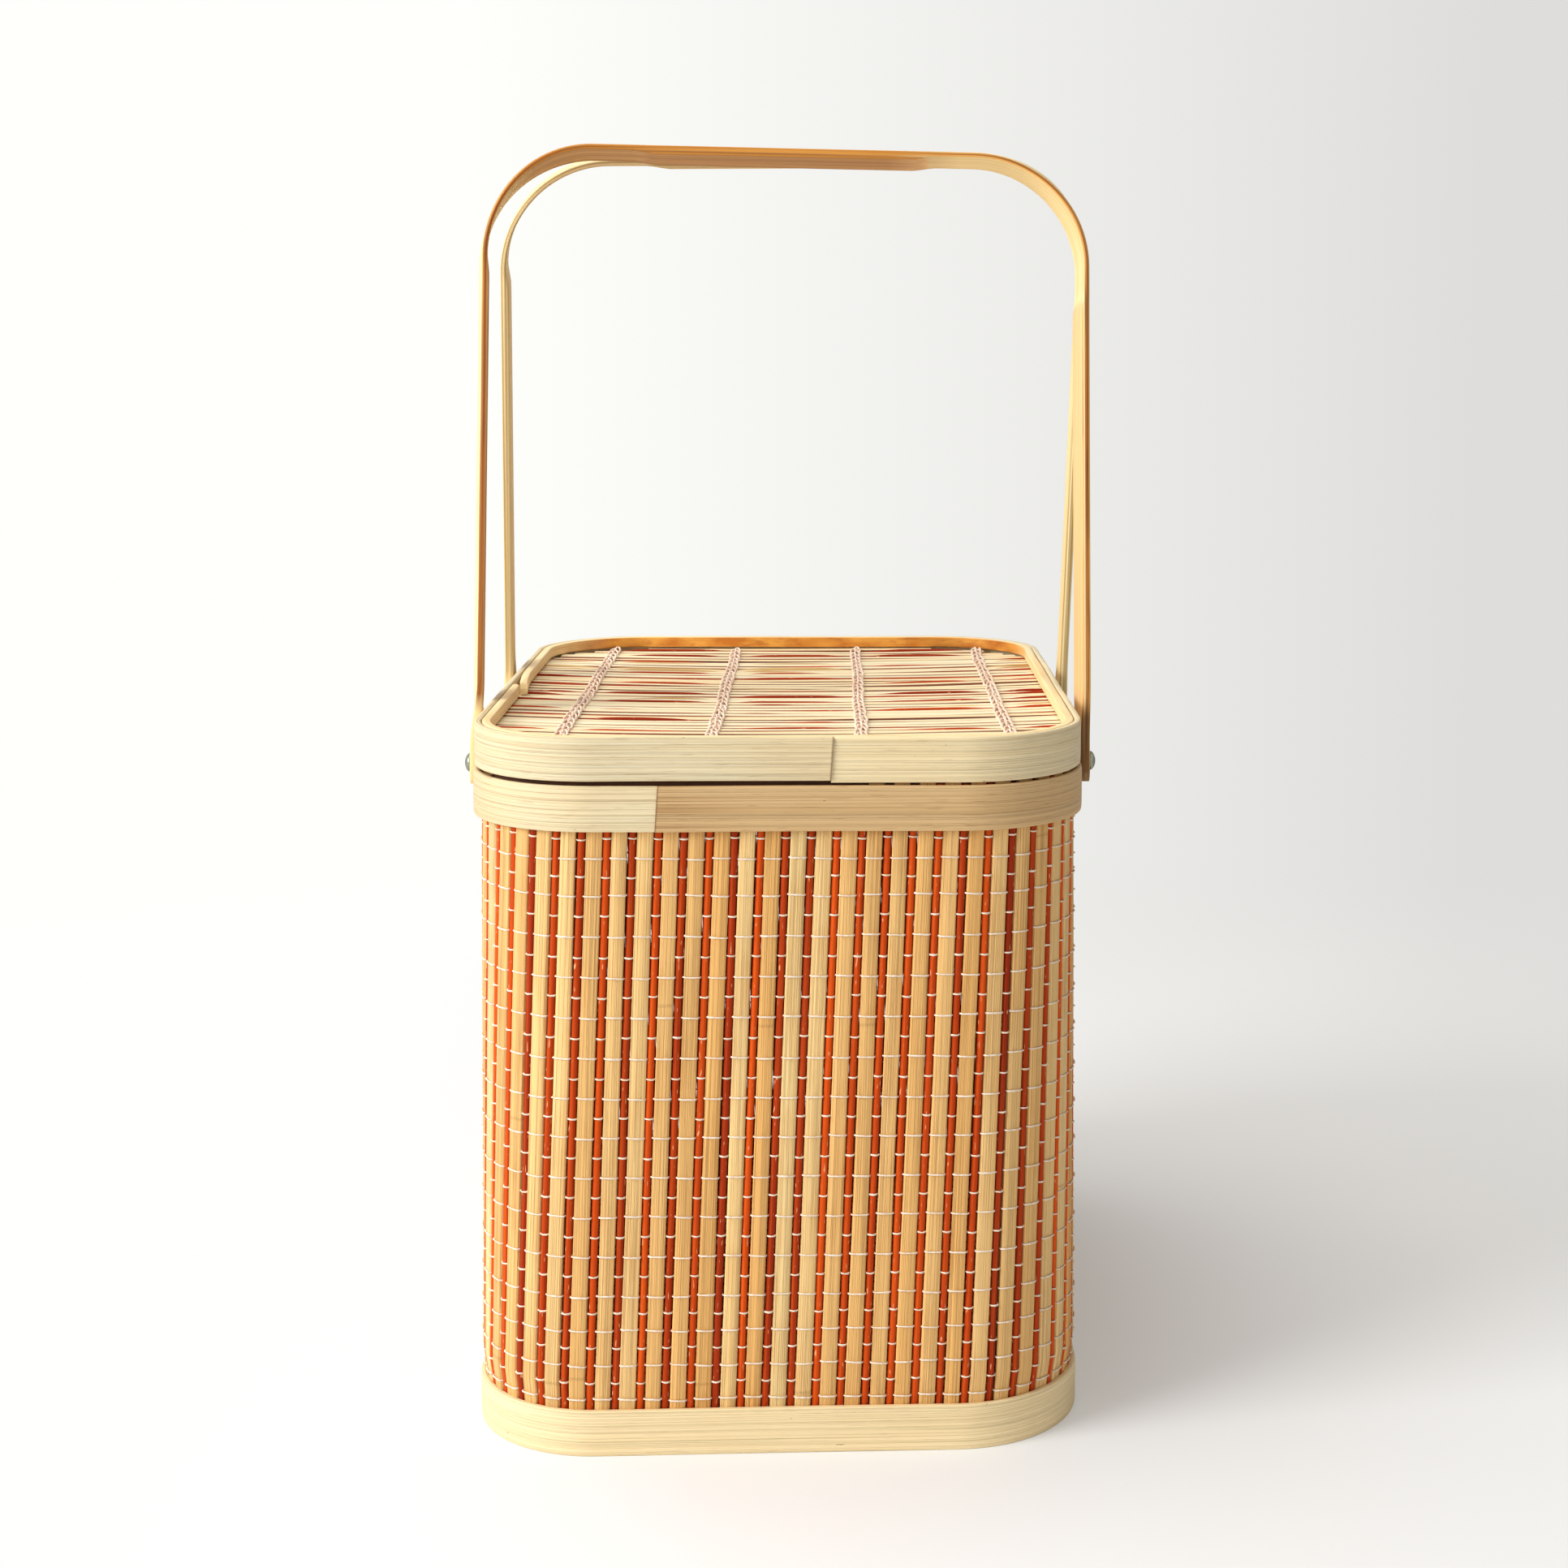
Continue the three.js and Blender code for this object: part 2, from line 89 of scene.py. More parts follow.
def wander(place, size, wavelength):
    """Slow wander along each row of places: the mean of three sines with random starts, whose
    wavelengths are random shares of the one given."""
    start = chance.uniform(0, 2 * math.pi, (3,) + place.shape[:-1] + (1,))
    length = wavelength * chance.uniform(0.6, 1.8, start.shape)
    return size * np.sin(2 * math.pi * place / length + start).mean(0)


def skin(name, points, grain, lot, surface, body, nodes=(), ring=False):
    """A mesh over a grid of points: rows along each bar, points round it. A face joins two neighbours
    in one row to the two beside them in the next, and a flat, sharp-edged face closes each end unless
    the rows run in a ring. Faces that enclose a negative volume are turned round. The surface reads
    the place in the strip from grain, and the strip's own random number and tone from lot."""
    if points.ndim == 3:
        points, grain = points[None], grain[None]
    count, rows, around = points.shape[:3]
    index = np.arange(count * rows * around).reshape(count, rows, around)
    upper, lower = (index, np.roll(index, -1, 1)) if ring else (index[:, :-1], index[:, 1:])
    sides = np.stack([upper, np.roll(upper, -1, 2), np.roll(lower, -1, 2), lower], -1).reshape(-1, 4)
    ends = np.empty((0, around), int) if ring else np.concatenate([index[:, 0, ::-1], index[:, -1]])
    flat = points.reshape(-1, 3)
    a, b, c, d = (flat[sides[:, i]] - flat.mean(0) for i in range(4))
    if (a * (np.cross(b, c) + np.cross(c, d))).sum() < 0:
        sides, ends = sides[:, ::-1], ends[:, ::-1]
    mesh = bpy.data.meshes.new(name)
    mesh.from_pydata(flat.tolist(), [], sides.tolist() + ends.tolist())
    mesh.polygons.foreach_set("use_smooth", [True] * len(sides) + [False] * len(ends))
    edges = np.empty(len(mesh.edges) * 2, int)
    mesh.edges.foreach_get("vertices", edges)
    row = edges.reshape(-1, 2) // around % rows
    end_edges = (row[:, 0] == row[:, 1]) & (row[:, 0] % (rows - 1) == 0) & (not ring)
    mesh.attributes.new("sharp_edge", "BOOLEAN", "EDGE").data.foreach_set("value", end_edges)
    own = np.broadcast_to(np.asarray(lot, float).reshape(-1, 1, 1, 2), points.shape[:3] + (2,))
    own = np.concatenate([own, np.zeros_like(own[..., :1])], -1)
    for label, values in (("grain", np.broadcast_to(grain, points.shape)), ("lot", own)):
        mesh.attributes.new(label, "FLOAT_VECTOR", "POINT").data.foreach_set("vector", values.ravel())
    mesh.materials.append(surface)
    piece = bpy.data.objects.new(name, mesh)
    bpy.context.scene.collection.objects.link(piece)
    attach(piece, body)
    if nodes:
        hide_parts(*nodes)


def colour(red, green, blue):
    """A colour as a screen shows it, 0 to 255, turned into the linear values that a shader takes."""
    share = np.array([red, green, blue]) / 255
    linear = np.where(share < 0.04045, share / 12.92, ((share + 0.055) / 1.055) ** 2.4)
    return (*linear.tolist(), 1.0)


class Wire:
    """One output of a material's nodes. node() adds a node from its type, its sockets' values and its
    settings. math() and vector() add a Math or Vector Math node with the wire as its first input, as
    sums, differences, products and ratios do, and part() takes one of a vector's three parts."""

    def __init__(self, socket):
        self.socket = socket

    def node(self, kind, inputs, output=0, stops=(), **settings):
        made = self.socket.id_data.nodes.new(kind)
        for setting, value in settings.items():
            setattr(made, setting, value)
        for i, (place, shade) in enumerate(stops):
            element = made.color_ramp.elements[i] if i < 2 else made.color_ramp.elements.new(place)
            element.position, element.color = place, colour(*shade)
        for socket, value in inputs.items():
            join(made.inputs[socket], value)
        return Wire(made.outputs[output])

    def math(self, operation, other=0.0, **settings):
        return self.node("ShaderNodeMath", {0: self, 1: other}, operation=operation, **settings)

    def vector(self, operation, other=(0, 0, 0), output=0):
        return self.node("ShaderNodeVectorMath", {0: self, 1: other}, output, operation=operation)

    def part(self, axis):
        return self.node("ShaderNodeSeparateXYZ", {0: self}, output=axis)

    def __add__(self, other):
        return self.math("ADD", other)

    def __sub__(self, other):
        return self.math("SUBTRACT", other)

    def __rsub__(self, other):
        return self.node("ShaderNodeMath", {0: other, 1: self}, operation="SUBTRACT")

    def __mul__(self, other):
        return self.math("MULTIPLY", other)

    def __truediv__(self, other):
        return self.math("DIVIDE", other)

    __radd__, __rmul__ = __add__, __mul__

    def clamp(self, low, high):
        """Nought below low, one above high, and straight between them."""
        return (self - low).math("MULTIPLY", 1 / (high - low), use_clamp=True)

    def near(self, value, width):
        """One where the wire equals a value, falling straight to nought a width away."""
        fall = (self - value).math("ABSOLUTE") / width
        return self.node("ShaderNodeMath", {0: 1.0, 1: fall}, operation="SUBTRACT", use_clamp=True)

    def mix(self, low, high):
        """Colour low where the wire is nought, colour high where it is one; either may be a wire."""
        low, high = (shade if isinstance(shade, Wire) else colour(*shade) for shade in (low, high))
        return self.node("ShaderNodeMix", {0: self, 6: low, 7: high}, output=2, data_type="RGBA")

    def noise(self, stretch, detail=2, rough=0.5):
        """Noise over the wire's vector after each axis is multiplied by its stretch, per metre."""
        scaled = self.vector("MULTIPLY", stretch)
        inputs = {"Vector": scaled, "Scale": 1.0, "Detail": detail, "Roughness": rough}
        return self.node("ShaderNodeTexNoise", inputs)


def join(socket, value):
    """Links a wire to a socket, or writes a plain value on it."""
    if isinstance(value, Wire):
        socket.id_data.links.new(value.socket, socket)
    else:
        socket.default_value = value


def begin(name):
    """A new material with its shader, and the wires that its pattern starts from: the strip's grain
    moved on by the strip's own random number, its three parts, the random number and the tone."""
    material = bpy.data.materials.new(name)
    material.use_nodes = True
    tree = material.node_tree
    tree.nodes.clear()
    shader = tree.nodes.new("ShaderNodeBsdfPrincipled")
    tree.links.new(shader.outputs[0], tree.nodes.new("ShaderNodeOutputMaterial").inputs[0])
    wires = []
    for label in ("grain", "lot"):
        read = tree.nodes.new("ShaderNodeAttribute")
        read.attribute_name = label
        wires.append(Wire(read.outputs["Vector"]))
    grain, lot = wires
    own = lot.part(0)
    shift = grain.node("ShaderNodeCombineXYZ", {0: own * 3.1, 1: own * 0.7, 2: own * 5.3})
    moved = grain.vector("ADD", shift)
    return material, shader, moved, grain.part(0), grain.part(1), grain.part(2), own, lot.part(1)


def finish(shader, height, rise, **values):
    """Puts wires or numbers on the shader's sockets; height goes through a Bump node of a given rise."""
    for name, value in values.items():
        join(shader.inputs[name.replace("_", " ").title().replace("Ior", "IOR")], value)
    bump = height.node("ShaderNodeBump", {"Height": height, "Distance": rise, "Strength": 1.0})
    join(shader.inputs["Normal"], bump)


# Pale split bamboo: long fine fibres, thin darker lines that run the strip's length, a few nicks. The
# tone picks its age, from the pale foot at nought by the lid at a half to the browner rim at one, and
# above one the skin side is painted dark maroon-brown as painted shade, for the shadow in the gap under
# the lid. A strip is paler from 0.8 m on, and its cut start is dark.
hoop_bamboo, shader, grain, along, across, deep, own, tone = begin("bent_bamboo")
fibres = grain.noise((14, 3200, 300), detail=3, rough=0.6)
bands = grain.noise((2.5, 1500, 200))
patches = grain.noise((12, 40, 60))
lines = grain.noise((1.6, 1300, 100), detail=1).near(0.5, 0.02)
dashes = grain.noise((90, 1700, 300), detail=1).clamp(0.64, 0.72)
nicks = grain.noise((300, 900, 300), detail=1).clamp(0.79, 0.83)
# Painted shade: above tone one the skin side is painted dark, standing in for the shadow in the gap under
# the lid
painted_gap_shade = tone.clamp(1.0, 2.0) * deep.clamp(0.0, 0.001)
tone = tone * (1.0 - along.clamp(0.80, 0.90) * 0.6)
ages = ((0.0, (254, 229, 180)), (0.5, (232, 217, 180)), (1.0, (214, 177, 125)))
shade = tone.node("ShaderNodeValToRGB", {0: tone}, stops=ages)
shade = (bands.clamp(0.42, 0.68) * 0.42).mix(shade, tone.mix((232, 208, 152), (194, 150, 92)))
shade = (patches.clamp(0.45, 0.75) * 0.35).mix(shade, tone.mix((242, 210, 150), (204, 158, 98)))
shade = (fibres.clamp(0.45, 0.75) * 0.45).mix(shade, tone.mix((216, 198, 150), (186, 146, 92)))
line_shade = tone.mix((190, 166, 112), (156, 114, 66))
shade = (lines * patches.clamp(0.3, 0.6) * 0.5).mix(shade, line_shade)
shade = (dashes * (tone * 0.3 + 0.12)).mix(shade, (156, 114, 66))
shade = (nicks * 0.6).mix(shade, (130, 92, 52))
frayed = along.clamp(0.035, 0.004) * tone.clamp(0.5, 0.8)
shade = (frayed * bands.clamp(0.35, 0.6) * 0.5).mix(shade, (158, 112, 58))
shade = (along.near(0.0, 0.0007) * 0.9).mix(shade, (118, 78, 42))
# The dark maroon-brown of that painted shade in the gap under the lid
painted_gap_shade_colour = fibres.clamp(0.35, 0.7).mix((104, 48, 26), (70, 28, 16))
shade = (painted_gap_shade * 0.9).mix(shade, painted_gap_shade_colour)
finish(shader, base_color=shade, roughness=0.5 + fibres * 0.2,
       height=fibres * 0.7 + bands * 0.5 - lines * 0.5 - nicks, rise=0.0002)


def bent_hoop(name, node, inset, thickness, bottom, top, start, tone, body="basket", turn=1, lap=0, gape=0):
    """A strip that runs once round the basket from a starting place, anticlockwise where turn is one and
    clockwise where it is minus one. Its section is carried along the outline; the outer face of the
    starting end stands proud by lap, which falls straight to nought over the lap's length. Both ends
    are cut a little off square. The lower edge stands up by gape at the starting end, and less and less
    over the gape's length."""
    place = np.linspace(0, girth(inset + thickness / 2), 320)
    high, out = section(32, 8)
    first_end = np.clip(1 - place / end_length, 0, 1)
    last_end = np.clip((place - place[-1]) / end_length + 1, 0, 1)
    askew = end_askew * (first_end + last_end)
    middle, outward = outline(start + turn * place[:, None] + np.outer(askew, high), inset + thickness / 2)
    proud = lap * np.clip(1 - place / lap_length, 0, 1)
    out = out * thickness / 2 + np.outer(proud, np.maximum(out, 0)) + wander(place, 0.00012, 0.13)[:, None]
    high = high * (top - bottom) / 2 + wander(place, 0.00012, 0.15)[:, None]
    points = middle + outward * out[..., None]
    lower = np.clip(0.5 - high / (top - bottom), 0, 1)
    gaping = gape * lower * np.clip(1 - place / gape_length, 0, 1)[:, None]
    points[..., 2] += (top + bottom) / 2 + high + gaping
    grain = np.stack([np.broadcast_to(place[:, None], high.shape), high, out], -1)
    skin(name, points, grain, (chance.uniform(), tone), hoop_bamboo, body, [node])


foot_lap_start = girth(outer_strip / 2) / 2 - 0.010
bent_hoop("foot_band", "base_outer_hoop", 0, outer_strip, 0, foot_top,
          start=foot_lap_start, tone=0.0, lap=lap_rise)
bent_hoop("foot_ring", "base_foot_hoop", inner_inset, inner_strip, 0, foot_ring_top,
          start=0.3, tone=0.5)
bent_hoop("floor_ring", "base_inner_hoop", inner_inset, inner_strip,
          floor_middle + mat_thickness / 2 + gap, foot_top, start=0.1, tone=0.6)

# Floor
# The floor is the same mat as the wall, laid flat: split bamboo slats with a round stick between each
# two. Its edge is trapped between the two inner rings, and two cross battens under it carry the load.
pitch = 0.0088
slat_width, slat_thickness, slat_squareness = 0.00568, 0.0027, 6
stick_radius = 0.00142
floor_play, floor_front, floor_rear = 0.0006, 0.012, 0.010


def bars(middle, place, side, proud, wide, thick, shape, along=(1, 0, 0), across=(0, 1, 0)):
    """Level bars side by side. A point on a bar is its middle + along * place
    + across * (side + wide * c) + up * (proud + thick * s), with c and s from the section."""
    middle, across, up, along = (np.broadcast_to(v, (len(place), 3))[:, None, None]
                                 for v in (middle, across, (0, 0, 1), along))
    side, proud, wide, thick = (np.broadcast_to(v, place.shape)[..., None]
                                for v in (side, proud, wide, thick))
    c, s = wide * shape[0], thick * shape[1]
    points = middle + along * place[..., None, None]
    points = points + across * (side + c)[..., None] + up * (proud + s)[..., None]
    return points, np.stack([np.broadcast_to(place[..., None], c.shape), c, s], -1)


def reach(y, inset):
    """How far the outline reaches sideways at a place y: the half width, less what the corner takes."""
    radius = basket_corner - inset
    into = np.clip(np.abs(y) - (basket_depth / 2 - basket_corner), 0, radius)
    return basket_width / 2 - basket_corner + np.sqrt(radius ** 2 - into ** 2)


# Slat: honey-coloured outer bamboo with upright fibres, node rings and a tone of its own
slat_bamboo, shader, grain, along, across, deep, own, tone = begin("slat_bamboo")
fibres = grain.noise((12, 3600, 400), rough=0.6)
streaks = grain.noise((3, 700, 200))
dark = grain.noise((5, 2200, 200), detail=1).near(0.5, 0.05)
blotch = grain.noise((34, 140, 90))
pale = (own * 5.0).math("FRACT").clamp(0.8, 0.9)
shade = tone.mix((255, 216, 148), (236, 174, 92))
shade = (pale * 0.7).mix(shade, (250, 224, 160))
shade = (streaks.clamp(0.4, 0.7) * 0.35).mix(shade, tone.mix((240, 192, 116), (214, 146, 66)))
shade = (blotch.clamp(0.5, 0.75) * 0.35).mix(shade, (226, 158, 76))
shade = (fibres.clamp(0.5, 0.72) * 0.35).mix(shade, (206, 144, 74))
shade = (dark * blotch.clamp(0.35, 0.6) * 0.3).mix(shade, (166, 108, 54))
ring = (along - own * 0.23).near(0.0, 0.0009) * (own * 7.0).math("FRACT").clamp(0.6, 0.62)
shade = (ring * 0.35).mix(shade, (176, 122, 66))
finish(shader, base_color=shade, roughness=0.46 + fibres * 0.2, specular_ior_level=0.35,
       height=fibres + streaks - dark + ring, rise=0.00018)

# Stick: round split cane, dyed orange-red and unevenly taken up, with pale scuffs, and its two sides
# painted dark red as painted shade of the round section
dyed_stick, shader, grain, along, across, deep, own, tone = begin("dyed_stick")
uptake = grain.noise((16, 260, 260), detail=3)
fibres = grain.noise((10, 1800, 1800))
scuffs = grain.noise((240, 1300, 1300), detail=1).clamp(0.70, 0.76)
shade = tone.mix((234, 92, 14), (156, 38, 6))
shade = (uptake.clamp(0.35, 0.7) * 0.6).mix(shade, tone.mix((196, 56, 6), (98, 18, 4)))
shade = (fibres.clamp(0.5, 0.75) * 0.4).mix(shade, (236, 104, 24))
# Painted shade: darker towards both sides of the round stick, where its own shading and the shadow beside
# the slats fall
sides = across.math("ABSOLUTE").clamp(0.0006, 0.0014)
shade = (sides * 0.6).mix(shade, (108, 24, 6))
shade = (scuffs * 0.8).mix(shade, (238, 178, 128))
finish(shader, base_color=shade, roughness=0.5 + uptake * 0.15, specular_ior_level=0.12,
       height=uptake + fibres, rise=0.00015)

# The mat's two kinds of bar: the share of the pitch that each is moved by, half sizes, section, finish
mat_bars = (
    ("slats", 0.0, slat_width / 2, slat_thickness / 2, section(12, slat_squareness), slat_bamboo),
    ("sticks", 0.5, stick_radius, stick_radius, section(8, 2), dyed_stick),
)
rows = np.arange(-basket_depth / 2 + floor_front, basket_depth / 2 - floor_rear, pitch)
for kind, share, wide, thick, shape, surface in mat_bars:
    y = rows + share * pitch
    half = reach(np.abs(y) + wide, inner_inset + floor_play)
    middle = np.stack([0 * y, y, 0 * y + floor_middle], -1)
    place = half[:, None] * np.linspace(-1, 1, 9)
    points, grain = bars(middle, place, wander(place, 0.0002, 0.12), 0, wide, thick, shape)
    lots = chance.uniform(size=(2, len(y))).T
    skin(f"floor_{kind}", points, grain, lots, surface, "basket",
         ["bottom_panel"] if kind == "slats" else [])

# Battens: plain golden strips on edge grain, cut to the ring
batten_width, batten_thickness, batten_x = 0.014, 0.0034, 0.045
batten_bamboo, shader, grain, *_ = begin("batten_bamboo")
fibres = grain.noise((14, 1400, 700), detail=3)
shade = fibres.clamp(0.35, 0.7).mix((224, 186, 118), (178, 128, 68))
finish(shader, base_color=shade, roughness=0.5 + fibres * 0.2, height=fibres, rise=0.0002)
half = basket_depth / 2 - inner_inset - inner_strip - 2 * gap
for side, x in (("left", -batten_x), ("right", batten_x)):
    place = half * np.linspace(-1, 1, 12)[None]
    middle = (x, 0, foot_ring_top - batten_thickness / 2)
    points, grain = bars(middle, place, 0, 0, batten_width / 2, batten_thickness / 2, section(16, 8),
                         along=(0, 1, 0), across=(1, 0, 0))
    skin(f"cross_batten_{side}", points, grain, (chance.uniform(), 0.5), batten_bamboo, "basket",
         [f"floor_batten_{side}"])

# Wall
# One mat bent once round the basket, its slats and sticks slanting a little out of upright. Their ends
# stand a hair above the rim, but sink below it from the front's middle round the left corner. The wall
# swells a little before it tucks into the foot band, and its pitch lets whole pairs go round.
wall_bottom, rim_bottom, rim_top = 0.002, 0.224, 0.240
wall_phase, wall_slant = -0.0008, 0.037
swell_size, swell_tuck, swell_rise, swell_height = 0.0019, 0.002, 0.009, 0.025
end_sink, end_lift = 0.0012, 0.0018
sunk_from, sunk_length, sunk_ramp = 0.012, 0.17, 0.02
wall_girth = girth(mat_inset)
pairs = round(wall_girth / pitch)
pitch = wall_girth / pairs


def ease(share):
    """A step from nought to one with level ends: 3 t^2 - 2 t^3."""
    t = np.clip(share, 0, 1)
    return t * t * (3 - 2 * t)


def swell(z):
    """How far the wall stands out at a height: it rises in an eased step over the first centimetre at
    the foot band, and falls straight to nought at the rim."""
    fall = np.clip((rim_bottom - z) / (rim_bottom - swell_height), 0, 1)
    return swell_size * ease((z - foot_top + swell_tuck) / swell_rise) * fall


for kind, share, wide, thick, shape, surface in mat_bars:
    from_front = np.mod(np.arange(pairs) * pitch - sunk_from, wall_girth)
    lifted = np.clip(from_front / sunk_ramp, 0, 1)
    lifted = lifted * np.clip((wall_girth - sunk_length - from_front) / sunk_ramp, 0, 1)
    top = rim_top - end_sink + end_lift * lifted + chance.uniform(-0.0004, 0.0003, pairs)
    if kind == "sticks":
        top = top - chance.uniform(0.0, 0.0009, pairs)
    place = wall_bottom + (top[:, None] - wall_bottom) * np.linspace(0, 1, 30)
    proud = swell(place) + wander(place, 0.00012, 0.12) - (0.0001 if kind == "sticks" else 0)
    wide = wide * chance.uniform(0.97, 1.03, (pairs, 1)) * (1 + wander(place, 0.02, 0.1))
    distance = wall_phase + share * pitch + np.arange(pairs)[:, None] * pitch
    distance = distance + wall_slant * (place - wall_bottom)
    middle, outward = outline(distance + wander(place, 0.00014, 0.2), mat_inset)
    sideways = np.stack([-outward[..., 1], outward[..., 0], outward[..., 2]], -1)
    c, s = wide[..., None] * shape[0], thick * shape[1]
    points = middle[:, :, None] + sideways[:, :, None] * c[..., None]
    points = points + outward[:, :, None] * (proud[..., None] + s)[..., None]
    points[..., 2] = place[..., None]
    grain = np.stack(np.broadcast_arrays(place[..., None], c, s), -1)
    lots = np.stack([chance.uniform(size=pairs), chance.beta(1.6, 1.8, pairs)], -1)
    skin(f"wall_{kind}", points, grain, lots, surface, "basket",
         ["woven_wall"] if kind == "slats" else [])

# Cotton that binds the mat: rows over the slats and behind the sticks, and between them rows over the
# sticks and behind the slats. Each row is one thread pulled tight right round the basket. The rows'
# heights are in millimetres, and so are the bends: places along one pair and out from the mat.
thread_radius, thread_droop = 0.00033, 0.03
slat_rows = np.array([20.0, 32.7, 45.3, 57.9, 72.1, 86.5, 100.5, 114.9, 128.9, 143.3, 157.9, 172.2, 186.6,
                      201.2, 214.1]) / 1000
stick_rows = np.append((slat_rows[1:] + slat_rows[:-1]) / 2, 0.2212)
over_slats = [(-4.4, -1.7), (-3.1, -0.4), (-2.95, 1.1), (-2.2, 1.62),
              (0, 1.7), (2.2, 1.62), (2.95, 1.1), (3.1, -0.4)]
over_sticks = [(-4.4, -1.7), (-2.3, -1.6), (-1.6, -0.2), (-1.2, 1.08),
               (0, 1.7), (1.2, 1.08), (1.6, -0.2), (2.3, -1.6)]

cotton, shader, grain, *_ = begin("cotton_thread")
twist = grain.noise((900, 2500, 2500))
shade = twist.clamp(0.35, 0.7).mix((255, 244, 226), (226, 200, 172))
finish(shader, base_color=shade, roughness=0.85, height=twist, rise=0.0002)


def tube(path, sideways, up):
    """Points round closed paths: each moves from the path by sideways along a level direction, the step
    between the neighbouring points of the path turned by a right angle, and by up."""
    ahead = np.roll(path, -1, 1) - np.roll(path, 1, 1)
    square = np.stack([ahead[..., 1], -ahead[..., 0], 0 * ahead[..., 0]], -1)
    square /= np.linalg.norm(square, axis=-1, keepdims=True)
    points = path[:, :, None] + square[:, :, None] * sideways[..., None]
    points[..., 2] += up
    return points


def bind(name, heights, centre, bends):
    """Rows of thread woven round the wall. The path runs along the outline by distance, and in and out
    of the mat by the bends of one pair repeated round the basket."""
    step, out = np.array(bends).T / 1000
    distance = (wall_phase + centre + np.arange(pairs)[:, None] * pitch + step).ravel()
    distance = distance + wall_slant * (heights[:, None] - wall_bottom)
    out = np.tile(out, pairs)
    heights = heights[:, None] + wander(distance, 0.0003, 0.05)
    heights = heights + np.repeat(chance.normal(0, 0.00016, (len(heights), pairs)), len(bends), 1)
    heights = heights - np.tile(step, pairs) * thread_droop
    place, outward = outline(distance, mat_inset)
    path = place + outward * (out + swell(heights))[..., None]
    path[..., 2] = heights
    c, s = section(4, 2) * thread_radius
    fat = 1 + np.repeat(chance.normal(0, 0.12, heights.shape)[..., None], 4, -1)
    grain = np.stack(np.broadcast_arrays(distance[..., None], c, s + heights[..., None]), -1)
    lots = np.stack([chance.uniform(size=len(heights))] * 2, -1)
    skin(name, tube(path, c * fat, s * fat), grain, lots, cotton, "basket", ring=True)


bind("threads_over_slats", slat_rows, 0.0, over_slats)
bind("threads_over_sticks", stick_rows, pitch / 2, over_sticks)

# Rim hoops
# Two strips clasp the wall's upper edge: the outer one is lapped at the front with the right end over
# the left, and the inner one stands proud of it as the lip that the lid sits over, its skin side painted
# dark as painted shade for the gap under the lid.
lip_top, rim_lap_start = rim_top + 0.009, -0.0418
bent_hoop("rim_band", "rim_outer_hoop", 0, outer_strip, rim_bottom, rim_top,
          start=rim_lap_start, tone=1.0, lap=lap_rise)
# Tone 2.0 paints the lip's skin side dark: painted shade for the gap under the lid
bent_hoop("rim_lip", "rim_inner_hoop", inner_inset, inner_strip, rim_bottom, lip_top,
          start=0.4, tone=2.0)

# Pivots
# Each end of a bail hangs on a plated M4 screw with a domed head. A ring keeps the bail off the rim,
# and a washer and a nut inside the mouth hold the screw.
pivot_y, pivot_z = 0.050, rim_top - 0.0075
bore, shank, head, head_height = 0.0022, 0.0019, 0.0037, 0.0026
spacer_start, spacer_thickness, spacer_radius = basket_width / 2 + gap, 0.0026, 0.005
leg_thickness = 0.004
bail_outer = basket_width / 2 + spacer_thickness + 2 * gap + leg_thickness
washer_thickness, washer_radius = 0.0008, 0.0045
nut_thickness, nut_radius, nut_bevel = 0.0032, 0.0035, 0.0004
washer_start = basket_width / 2 - inner_inset - inner_strip - gap - washer_thickness
nut_start = washer_start - gap - nut_thickness
screw_end, screw_shoulder, head_rim = 0.001, 0.0007, 0.0004

plated_steel, shader, grain, *_ = begin("plated_steel")
turning = grain.noise((3000, 60, 60))
dull = grain.noise((300, 300, 300), detail=3)
shade = dull.clamp(0.35, 0.7).mix((162, 165, 148), (98, 98, 82))
finish(shader, base_color=shade, metallic=1.0, roughness=0.24 + dull * 0.25, height=turning, rise=0.00005)


def turned(name, node, profile, side, y, ring, hexagon):
    """A piece turned about the pivot's axis: each place and radius of the profile is carried round a
    circle. Outside the bore it may be carried round a hexagon instead, whose radius is the flat's over
    the cosine of the angle from its middle."""
    place, radius = np.array(profile).T
    angle = np.linspace(0, 2 * math.pi, 36, endpoint=False)
    grow = 1 / np.cos(np.mod(angle, math.pi / 3) - math.pi / 6) if hexagon else np.ones(36)
    grow = np.where((radius > bore * 1.3)[:, None], grow, 1)
    out = radius[:, None] * grow
    points = np.stack(np.broadcast_arrays(side * place[:, None], y + out * np.cos(angle),
                                          pivot_z + out * np.sin(angle)), -1)
    grain = np.stack(np.broadcast_arrays(out, np.cos(angle) * 0.004, place[:, None]), -1)
    skin(name, points, grain, (chance.uniform(), 0.5), plated_steel, "basket", [node], ring)


def round_ring(outer, start, thickness, bevel=0.0002):
    """The profile of a ring round the bore with its outer edges bevelled."""
    end = start + thickness
    return [(start, bore), (start, outer - bevel), (start + bevel, outer), (end - bevel, outer),
            (end, outer - bevel), (end, bore)]


seat = bail_outer + gap
screw_profile = [(nut_start - screw_end, 0.0001), (nut_start - screw_end, shank - 0.0003),
                 (nut_start - screw_shoulder, shank), (seat, shank), (seat, head - 0.0002),
                 (seat + head_rim, head)]
for t in np.linspace(0.12, 1, 9) * math.pi / 2:
    dome_place = seat + head_rim + (head_height - head_rim) * math.sin(t)
    screw_profile.append((dome_place, max(head * math.cos(t), 0.00002)))
